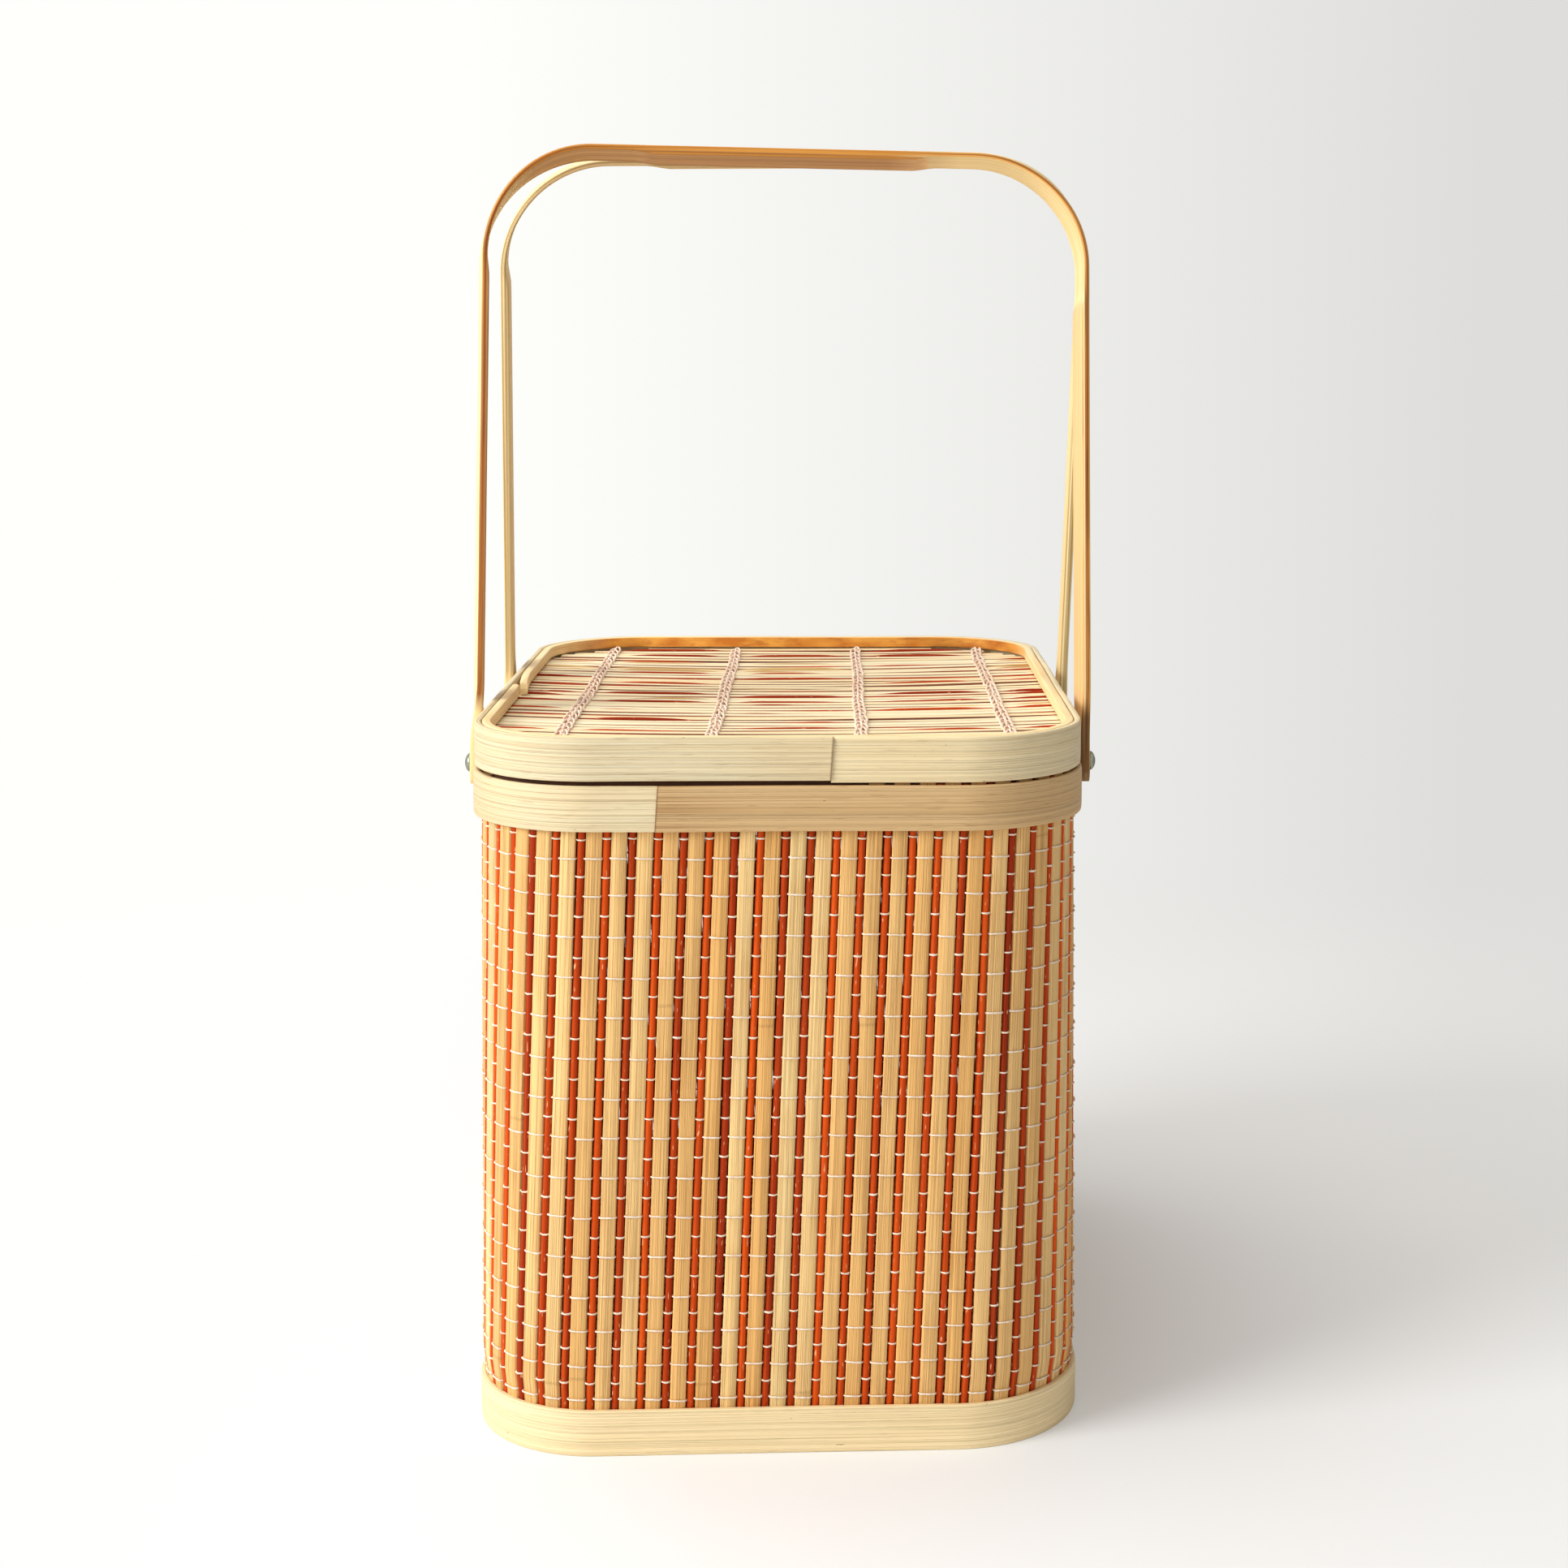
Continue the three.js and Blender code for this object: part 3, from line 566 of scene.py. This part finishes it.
# What hangs a bail at each corner: for each piece its name, node, profile and whether it is a ring
hardware = (
    ("domed_screw", "pivot_screw", screw_profile, False),
    ("spacer_ring", "spacer", round_ring(spacer_radius, spacer_start, spacer_thickness), True),
    ("inner_washer", "washer", round_ring(washer_radius, washer_start, washer_thickness), True),
    ("inner_nut", "nut", round_ring(nut_radius, nut_start, nut_thickness, nut_bevel), True),
)
for end, y in (("front", -pivot_y), ("rear", pivot_y)):
    for hand, side in (("left", -1), ("right", 1)):
        for name, node, profile, ring in hardware:
            turned(f"{name}_{end}_{hand}", f"{node}_{end}_{hand}", profile, side, y, ring, node == "nut")

# Lid hoops
# The lid's band is lapped at the front with the left end over the right. An inner hoop above the
# splints has its ends butted on the left side, the rear end sprung in a little, and a ring below the
# splints sits over the basket's lip.
lid_bottom, lid_top, lid_play = rim_top + 0.001, rim_top + 0.017, 0.0005
lid_inset = lid_play + outer_strip + gap
lid_inner, lid_recess, lip_play, seat_rise = 0.0031, 0.0045, 0.0006, 0.0014
lid_lap_start, lid_gape = 0.019, 0.0009
panel_top, panel_thickness = lid_top - lid_recess - gap, 0.0024
bent_hoop("lid_band", "lid_outer_hoop", lid_play, outer_strip, lid_bottom, lid_top,
          start=lid_lap_start, tone=0.5, body="lid", turn=-1, lap=lap_rise, gape=lid_gape)
bent_hoop("lid_seat_ring", "lid_seat_hoop", lid_inset, inner_inset - lip_play - lid_inset,
          lid_bottom + seat_rise, panel_top - panel_thickness - gap, start=0.2, tone=0.6, body="lid")

joint_y, joint_gap, spring, spring_length, chamfer = -0.027, 0.0026, 0.0024, 0.034, 0.004
inner_middle = lid_inset + lid_inner / 2
left_side = girth(inner_middle) * 3 / 4 + basket_width / 4 - basket_depth / 4
joint_place = left_side - joint_y
place = np.linspace(joint_gap / 2, girth(inner_middle) - joint_gap / 2, 300)
middle, outward = outline(joint_place + place, inner_middle)
high, out = section(28, 8)
sprung = spring * np.clip(1 - (place[-1] - place) / spring_length, 0, 1) ** 1.5
out = out * lid_inner / 2 - sprung[:, None] + wander(place, 0.00008, 0.13)[:, None]
high = high * (lid_top - panel_top - gap) / 2 + wander(place, 0.00008, 0.15)[:, None]
points = middle[:, None] + outward[:, None] * out[..., None]
points[..., 2] += (lid_top + panel_top + gap) / 2 + high
points[0, :, 1] -= chamfer * np.clip(-out[0] / (lid_inner / 2), 0, 1)
ring_grain = np.stack([np.broadcast_to(place[:, None], high.shape), high, out], -1)

# The inner hoop's inner side is the stalk's waxy outside, stained golden at the rear; the rest is pale
stained_bamboo, shader, grain, along, across, deep, own, tone = begin("stained_bamboo")
fibres = grain.noise((20, 1800, 300), detail=3)
stains = grain.noise((60, 120, 200), detail=3)
mottle = grain.noise((160, 400, 300))
golden = stains.clamp(0.35, 0.65).mix((236, 168, 72), (202, 120, 34))
golden = (mottle.clamp(0.55, 0.75) * 0.6).mix(golden, (172, 92, 28))
pale = fibres.clamp(0.4, 0.7).mix((255, 228, 172), (240, 198, 136))
golden = along.near(0.655, 0.16).clamp(0.2, 0.4).mix(pale, golden)
shade = deep.clamp(-0.0011, -0.00145).mix(pale, golden)
shade = (along.near(0.0, 0.003) * 0.7).mix(shade, (136, 90, 48))
finish(shader, base_color=shade, roughness=0.42 + fibres * 0.2, specular_ior_level=0.35,
       height=fibres + mottle * 0.6, rise=0.0002)
skin("lid_inner_ring", points, ring_grain, (chance.uniform(), 0.2), stained_bamboo, "lid",
     ["lid_inner_hoop"])

# Lid panel
# Thirty-eight split splints lie side to side across the lid with a thin stick between each two, most of
# them dyed. Between the stitch bands the splints part in long lenses and the stick bulges up through.
splints = 38
panel_play, splint_play, stick_play = 0.0010, 0.0012, 0.0014
under_width, under_thickness, under_drop = 0.0010, 0.0009, 0.0009
panel_edge = basket_depth / 2 - lid_inset - panel_play
splint_pitch = 2 * panel_edge / splints
band_places = 0.0026 + 0.054 * (np.arange(4) - 1.5)
sag, pinch_width, dyed_share = 0.0022, 0.009, 0.72
seam_half, lens_half, stick_low, stick_bulge = 0.00034, 0.00062, -0.00080, 0.00135


def sink(points):
    """Lowers points by sag * (1 - x^2) * (1 - y^4), with x and y as shares of the half width and the
    half depth of the basket."""
    x, y = points[..., 0] / (basket_width / 2), points[..., 1] / (basket_depth / 2)
    points[..., 2] -= sag * np.clip(1 - x * x, 0, 1) * np.clip(1 - y ** 4, 0, 1)
    return points


# Every seam wanders a little, and opens by a slow random wave that is pinched shut at each stitch band
x = basket_width / 2 * np.linspace(-1, 1, 81)
seam_x = np.broadcast_to(x, (splints + 1, 81))
seam = np.linspace(-panel_edge, panel_edge, splints + 1)[:, None]
inner = np.abs(seam) < panel_edge - 0.001
pinch = np.exp(-((x - band_places[:, None]) / pinch_width) ** 2).sum(0)
lens = wander(seam_x, 1.0, 0.12) + chance.uniform(-0.2, 0.95, (splints + 1, 1))
lens = np.clip(lens, 0, 1) * np.clip(1 - 0.7 * pinch, 0, 1) * inner
seam = seam + (wander(seam_x, 0.0007, 0.26) + wander(seam_x, 0.0003, 0.07)) * inner
opening = seam_half + lens_half * lens
crown = stick_low + stick_bulge * lens


def follow(values, place):
    """Values along the seams, read at the places of each row."""
    return np.array([np.interp(row, x, value) for row, value in zip(place, values)])


splint_bamboo, shader, grain, along, across, deep, own, tone = begin("splint_bamboo")
fibres = grain.noise((16, 1900, 600), detail=3)
streaks = grain.noise((7, 600, 300))
# Painted shade: the splints' edges are painted dark, widening the shadowed groove along each seam
edge = across.math("ABSOLUTE").clamp(0.0027, 0.0032)
shade = tone.mix((255, 244, 208), (253, 226, 174))
shade = (streaks.clamp(0.4, 0.68) * 0.3).mix(shade, tone.mix((242, 216, 162), (228, 184, 122)))
shade = (fibres.clamp(0.5, 0.75) * 0.3).mix(shade, (214, 172, 112))
painted_seam_shade = tone.mix((160, 92, 48), (88, 34, 16))
shade = (edge * (streaks.clamp(0.3, 0.5) * 0.4 + 0.6)).mix(shade, painted_seam_shade)
finish(shader, base_color=shade, roughness=0.5 + fibres * 0.2, specular_ior_level=0.35,
       height=fibres + streaks, rise=0.0002)

y = (np.arange(splints) + 0.5) * splint_pitch - panel_edge
half = reach(np.abs(y) + splint_pitch / 2, lid_inset + splint_play)
place = half[:, None] * np.linspace(-1, 1, 81)
lower = follow(seam[:-1] + opening[:-1], place)
upper = follow(seam[1:] - opening[1:], place)
height = chance.uniform(-0.0003, 0.0001, (splints, 1)) + wander(place, 0.00025, 0.16)
points, grain = bars((0, 0, panel_top - panel_thickness / 2), place, (lower + upper) / 2, height,
                     (upper - lower) / 2, panel_thickness / 2, section(16, 5))
tilt = wander(place, 0.05, 0.2) + chance.uniform(-0.03, 0.03, (splints, 1))
points[..., 2] += grain[..., 1] * tilt[..., None]
grain[..., 1] = section(16, 5)[0] * splint_pitch / 2
lots = chance.uniform(size=(2, splints)).T
skin("lid_splints", sink(points), grain, lots, splint_bamboo, "lid", ["lid_panel"])

# A stick lies under each seam, and shows where the seam opens
dyed = chance.uniform(size=splints - 1) < dyed_share
for name, pick, surface in (("lid_sticks_dyed", dyed, dyed_stick),
                            ("lid_sticks_plain", ~dyed, batten_bamboo)):
    y = np.linspace(-panel_edge, panel_edge, splints + 1)[1:-1][pick]
    half = reach(np.abs(y) + 0.0025, lid_inset + stick_play)
    place = half[:, None] * np.linspace(-1, 1, 81)
    points, grain = bars((0, 0, panel_top - under_drop), place, follow(seam[1:-1][pick], place),
                         follow(crown[1:-1][pick], place), under_width, under_thickness, section(8, 2))
    lots = np.stack([chance.uniform(size=len(y)), chance.uniform(0.5, 1, size=len(y))], -1)
    skin(name, sink(points), grain, lots, surface, "lid")

# Chain stitches
# Four bands of cotton cross the splints from front to back, each a double row of chain stitch. Each
# long loop dips at its narrow end, where the next loop holds it down.
loops = 29
loop_pitch = 2 * panel_edge / loops
loop_half, loop_radius, row_half = loop_pitch * 0.5, 0.00096, 0.00108
cord_radius, cord_lift, cord_dip, cord_lean, row_shift = 0.0005, 0.0003, 0.0006, 0.0004, 0.4
row_room, end_room, row_wave, wave_length = 0.0025, 0.0015, 0.0003, 0.021
angle = np.arange(16) * 2 * math.pi / 16
chain_cotton, shader, grain, *_, tone = begin("chain_cotton")
twist = grain.noise((700, 2600, 2600))
shade = (twist.clamp(0.35, 0.7) * 0.5 + tone * 0.4).mix((252, 234, 214), (234, 190, 162))
finish(shader, base_color=shade, roughness=0.9, specular_ior_level=0.2, height=twist, rise=0.0002)
for number, x in enumerate(band_places, 1):
    y = (np.arange(loops) + 0.5) * loop_pitch - panel_edge
    y = y[(np.abs(y) + loop_half < basket_depth / 2 - lid_inset - lid_inner)
          & (np.abs(x) + row_room < reach(np.abs(y) + loop_half, lid_inset + lid_inner))]
    y = np.repeat(y, 2) + np.tile([0, row_shift * loop_pitch], len(y))
    y = y + chance.normal(0, 0.0004, len(y))
    y = np.clip(y, None, panel_edge - loop_half - end_room)
    x = x + np.tile([-row_half, row_half], len(y) // 2) + chance.normal(0, 0.00014, len(y))
    x = x + np.sin(y / wave_length + number * 1.7) * row_wave
    lift = panel_top + cord_lift + chance.normal(0, 0.0001, len(y))
    broad = loop_radius * (1 + 0.3 * np.sin(angle)) * chance.uniform(0.8, 1.1, (len(y), 1))
    lean = cord_lean * np.sin(angle) * np.tile([1, -1], len(y) // 2)[:, None]
    path = np.stack([x[:, None] + broad * np.cos(angle) + lean, y[:, None] + loop_half * np.sin(angle),
                     lift[:, None] + cord_dip * np.sin(angle)], -1)
    c, s = section(6, 2) * cord_radius
    grain = np.stack(np.broadcast_arrays(path[..., 1, None], c, s), -1)
    lots = chance.uniform(size=(2, len(y))).T
    skin(f"chain_stitch_{number}", sink(tube(path, c, s)), grain, lots, chain_cotton, "lid",
         [f"lid_stitch_{number}"], ring=True)

# Bails
# Each bail is one golden bamboo strip, full thickness at the legs and the grip, shaved thin where it is
# bent. The skin side faces out; the sawn edges show dark streaks, and the two lean together.
bail_height, bail_width, bend_radius = 0.2355, 0.021, 0.044
bend_thickness, grip_thickness = 0.0023, 0.0036
shave_right, shave_left, shave_beside, shave_ramp = 0.008, -0.002, 0.014, 0.010
foot_drop, foot_round, meet_gap = 0.008, 0.005, 0.0006
slim_start, slim_ramp = 0.006, 0.024

bail_bamboo, shader, grain, along, across, deep, own, tone = begin("bail_bamboo")
fibres = grain.noise((10, 1500, 1500), detail=1.5)
streaks = grain.noise((4, 500, 1300), detail=3)
stains = grain.noise((24, 200, 900), detail=3)
edge = across.math("ABSOLUTE").clamp(0.0099, 0.0103)
inside = deep.clamp(0.0016, 0.0020)
worn = along.near(0.372, 0.14).clamp(0.3, 0.5) * tone
skin_side = fibres.clamp(0.35, 0.7).mix((250, 230, 174), (228, 194, 128))
lines = streaks.clamp(0.40, 0.62)
sawn_light = tone.mix((250, 230, 176), (228, 166, 86))
sawn = lines.mix(sawn_light, tone.mix((186, 156, 98), (142, 70, 18)))
sawn = (stains.clamp(0.5, 0.68) * tone * 0.7).mix(sawn, (104, 56, 24))
burnt = along.clamp(0.46, 0.52) * tone * (1.0 - lines * 0.5)
sawn = (burnt * 0.75).mix(sawn, (136, 66, 12))
creamy = deep.near(0.0024, 0.0005).math("MAXIMUM", deep.clamp(0.0006, 0.0003))
sawn = (creamy * (0.8 - along.clamp(0.42, 0.48) * 0.6)).mix(sawn, (252, 234, 178))
sawn = (worn * 0.9).mix(sawn, lines.mix((206, 138, 56), (150, 86, 26)))
pith = (fibres.clamp(0.4, 0.7) * 0.3 + lines * 0.5).mix((250, 228, 170), (224, 184, 118))
unshaved = deep.clamp(0.0026, 0.0030) * tone
unshaved_shade = fibres.clamp(0.35, 0.7).mix((246, 202, 142), (224, 170, 108))
pith = (unshaved * 0.85).mix(pith, unshaved_shade)
pith = (worn * 0.9).mix(pith, lines.mix((190, 134, 64), (158, 104, 42)))
sawn = (along.clamp(0.650, 0.657) * 0.8).mix(sawn, (250, 224, 162))
shade = edge.mix(inside.mix(skin_side, pith), sawn)
# Painted shade: the right foot's sawn edges and tip are painted dark brown, standing in for the shadow of
# the basket and the lid's band over that foot
foot_edge = edge.math("MAXIMUM", along.clamp(0.0065, 0.0045))
painted_foot_shade = along.clamp(0.032, 0.024) * tone * foot_edge
shade = (painted_foot_shade * 0.85).mix(shade, stains.clamp(0.35, 0.65).mix((134, 94, 52), (78, 50, 28)))
finish(shader, base_color=shade, roughness=0.5 + fibres * 0.1, specular_ior_level=0.2,
       height=streaks + stains * 0.5, rise=0.00007)


def bail(name, node, y, sway, tilt, twists, slims, tone):
    """A strip carried along a half path up the right leg, round a quarter circle and along the grip,
    then back down its mirror image. At each station the section lies between the outer face and the
    same face moved inwards by the thickness, which eases from full to thin at both ends of the bend.
    Above the feet the right and the left leg are turned about their length by their twist and made
    thinner by their slimming. Sway moves a station sideways in proportion to its height, and tilt lifts
    it in proportion to its height and its sideways place. The whole bail then leans about its pivots
    until its edge meets the other one's. Its body bears its node's name."""
    leg_top = bail_height - bend_radius
    bend_x = bail_outer - bend_radius
    leg = np.concatenate([-foot_drop + foot_round * (1 - np.cos(np.linspace(0.05, 1, 7) * math.pi / 2)),
                          np.linspace(-0.001, leg_top, 62)])
    turn = np.linspace(0, math.pi / 2, 26)[1:]
    level = bend_x - np.linspace(0, bend_x, 26)[1:-1]
    above = ease((leg - slim_start) / slim_ramp)
    x = np.concatenate([bail_outer + 0 * leg, bend_x + bend_radius * np.cos(turn), level])
    z = np.concatenate([leg, leg_top + bend_radius * np.sin(turn), bail_height + 0 * level])
    nx = np.concatenate([1 + 0 * leg, np.cos(turn), 0 * level])
    nz = np.concatenate([0 * leg, np.sin(turn), 1 + 0 * level])
    thin_grip = ease((bend_x - shave_beside - level) / shave_ramp)
    thick = [np.concatenate([bend_thickness + (leg_thickness - thin * above - bend_thickness)
                             * ease((leg_top - shave - leg) / shave_ramp), bend_thickness + 0 * turn,
                             bend_thickness + (grip_thickness - bend_thickness) * thin_grip])
             for shave, thin in zip((shave_right, shave_left), slims)]
    on_leg = np.concatenate([above, np.cos(turn), 0 * level])
    cut = foot_round * (1 - np.sqrt(np.clip(1 - (1 - (leg + foot_drop) / foot_round) ** 2, 0, 1)))
    cut = np.where(leg < foot_round - foot_drop, cut, 0)
    half = bail_width / 2 - np.concatenate([cut, 0 * turn, 0 * level])
    run = np.concatenate([[0], np.cumsum(np.hypot(np.diff(x), np.diff(z)))])
    x, nx = np.concatenate([x, -x[::-1]]), np.concatenate([nx, -nx[::-1]])
    z, nz, half = (np.concatenate([v, v[::-1]]) for v in (z, nz, half))
    thick = np.concatenate([thick[0], thick[1][::-1]])
    x = x - np.concatenate([slims[0] / 2 * on_leg, -slims[1] / 2 * on_leg[::-1]])
    twist = np.concatenate([twists[0] * on_leg, twists[1] * on_leg[::-1]])
    run = np.concatenate([run, 2 * (run[-1] + level[-1]) - run[::-1]])
    wide, deep = section(28, 9)
    wide = half[:, None] * wide
    deep = thick[:, None] * (1 - deep) / 2
    px = x[:, None] - deep * nx[:, None]
    pz = z[:, None] - deep * nz[:, None]
    share = np.clip(pz, 0, None) / bail_height
    px = px + sway * share - wide * np.sin(twist)[:, None]
    pz = pz + tilt * px * share
    wide = wide + wander(run, 0.0001, 0.1)[:, None] * np.clip(share * 4, 0, 1)
    lean = math.asin((pivot_y - meet_gap / 2) / math.hypot(bail_height, bail_width / 2))
    lean = (lean - math.atan2(bail_width / 2, bail_height)) * math.copysign(1, y)
    points = np.stack([px, y + wide * math.cos(lean) - pz * math.sin(lean),
                       pivot_z + wide * math.sin(lean) + pz * math.cos(lean)], -1)
    grain = np.stack([np.broadcast_to(run[:, None], px.shape), wide, deep], -1)
    skin(name, points, grain, (chance.uniform(), tone), bail_bamboo, node, [node])


bail("front_carrying_bail", "front_bail", -pivot_y, sway=0.0005, tilt=-0.012, twists=(0.084, 0.19),
     slims=(0.0007, 0.0009), tone=1.0)
bail("rear_carrying_bail", "rear_bail", pivot_y, sway=0.005, tilt=0.015, twists=(-0.03, 0.07),
     slims=(0.0005, 0.0005), tone=0.15)

# Floor, light and camera
# A pale studio floor that keeps the basket's shadow and fades into a backdrop of its own colour, a large
# soft light from the left, weaker ones from above and the front, and the photograph's point of view.
white, grey = (255, 255, 252), (222, 221, 219)
floor_sides = 96
angle = np.linspace(0, 2 * math.pi, floor_sides, endpoint=False)
radius = np.array([0.02, 0.5, 1.5, 6.0])[:, None]
points = np.stack([radius * np.cos(angle), radius * np.sin(angle), 0 * radius * angle], -1).reshape(-1, 3)
index = np.arange(len(points)).reshape(-1, floor_sides)
beside = np.roll(index, -1, 1)
faces = np.stack([index[:-1], index[1:], beside[1:], beside[:-1]], -1).reshape(-1, 4)
mesh = bpy.data.meshes.new("studio_floor")
mesh.from_pydata(points.tolist(), [], faces.tolist() + [index[0].tolist()])
floor = bpy.data.objects.new("studio_floor", mesh)
bpy.context.scene.collection.objects.link(floor)


def backdrop(direction):
    """White on the left and light grey on the right, by how far a direction points to the right once it
    is laid level."""
    length = direction.vector("MULTIPLY", (1, 1, 0)).vector("LENGTH", output=1)
    return (direction.part(0) / length).clamp(-0.14, 0.245).mix(white, grey)


# The floor is matt paper with a faint glow of its own. Behind the basket it fades into the backdrop,
# whose shades fan out from the point on the floor where the photographer stands, and on the left to white.
floor_paint = bpy.data.materials.new("studio_floor")
floor_paint.use_nodes = True
tree = floor_paint.node_tree
tree.nodes.clear()
place = Wire(tree.nodes.new("ShaderNodeTexCoord").outputs["Object"])
seen = place.node("ShaderNodeLightPath", {}, output="Is Camera Ray")
away = place.vector("LENGTH", output=1).clamp(0.35, 0.9)
fan = place.vector("ADD", (-0.0185, 1.02, 0))
lit = place.node("ShaderNodeBsdfDiffuse", {"Color": colour(240, 238, 234)})
glow = place.node("ShaderNodeEmission", {"Color": colour(255, 255, 254), "Strength": 1.0})
far = place.node("ShaderNodeEmission", {"Color": backdrop(fan), "Strength": 1.0})
glowing = ((0.0 - place.part(0)).clamp(0.02, 0.22) * 0.8 + 0.2) * seen
near = place.node("ShaderNodeMixShader", {0: glowing, 1: lit, 2: glow})
blend = place.node("ShaderNodeMixShader", {0: away * seen, 1: near, 2: far})
tree.links.new(blend.socket, tree.nodes.new("ShaderNodeOutputMaterial").inputs[0])
mesh.materials.append(floor_paint)

# The world shows the backdrop, and lights the basket more from the left than from the right
world = bpy.data.worlds.new("studio")
world.use_nodes = True
bpy.context.scene.world = world
tree = world.node_tree
tree.nodes.clear()
direction = Wire(tree.nodes.new("ShaderNodeTexCoord").outputs["Generated"])
straight, glossy, through = (direction.node("ShaderNodeLightPath", {}, output=kind)
                             for kind in ("Is Camera Ray", "Is Glossy Ray", "Is Transmission Ray"))
seen = straight.math("MAXIMUM", glossy.math("MAXIMUM", through))
ambient = 0.66 - direction.part(0).clamp(-0.8, 0.8) * 0.34
strength = ambient + seen * (1.0 - ambient)
sky = direction.node("ShaderNodeBackground", {"Color": backdrop(direction), "Strength": strength})
tree.links.new(sky.socket, tree.nodes.new("ShaderNodeOutputWorld").inputs[0])

# Each lamp's place, size, power and colour; all of them face the basket's middle
lit_point = (0, 0, 0.18)
lamps = (
    ("key_light", (-1.62, -0.90, 1.15), 1.0, 37, (0.93, 0.96, 1.0)),
    ("front_fill", (0.3, -1.9, 0.9), 1.4, 3, (1.0, 1.0, 1.0)),
    ("top_light", (-0.45, 0.05, 1.95), 1.2, 14, (1.0, 1.0, 1.0)),
)
for name, place, size, power, hue in lamps:
    lamp = bpy.data.lights.new(name, "AREA")
    lamp.energy, lamp.size, lamp.color = power, size, hue
    light = bpy.data.objects.new(name, lamp)
    back = np.array(place) - lit_point
    back /= np.linalg.norm(back)
    right = np.cross((0, 1, 0), back)
    right /= np.linalg.norm(right)
    axes = np.stack([right, np.cross(back, right), back], 1)
    light.matrix_world = Matrix.Translation(place) @ Matrix(axes.tolist()).to_4x4()
    bpy.context.scene.collection.objects.link(light)

# The camera's place and turn were worked out from the basket's edges in the photograph, whose frame
# sits off to one side of the lens axis; turn and dip aim it, and roll tips it.
camera_place = np.array([18.5332, -1020.0737, 400.6298]) / 1000
turn, dip, roll = -0.0604, 0.1010, 0.0070
frame_size, lens_pixels, axis_x, axis_y = 1932, 3155.04, 1214, 715
right = np.array([math.cos(turn), math.sin(turn), 0])
ahead = np.array([-math.sin(turn) * math.cos(dip), math.cos(turn) * math.cos(dip), -math.sin(dip)])
above = np.cross(right, ahead)
tipped = [math.cos(roll) * right + math.sin(roll) * above, math.cos(roll) * above - math.sin(roll) * right]
lens = bpy.data.cameras.new("camera")
lens.sensor_width = 36
lens.lens = lens_pixels / frame_size * lens.sensor_width
lens.shift_x, lens.shift_y = (frame_size / 2 - axis_x) / frame_size, (axis_y - frame_size / 2) / frame_size
lens.clip_start, lens.clip_end = 0.05, 50
camera = bpy.data.objects.new("camera", lens)
axes = np.stack([*tipped, -ahead], 1)
camera.matrix_world = Matrix.Translation(camera_place) @ Matrix(axes.tolist()).to_4x4()
bpy.context.scene.collection.objects.link(camera)
bpy.context.scene.camera = camera
bpy.context.scene.view_settings.view_transform = "Standard"
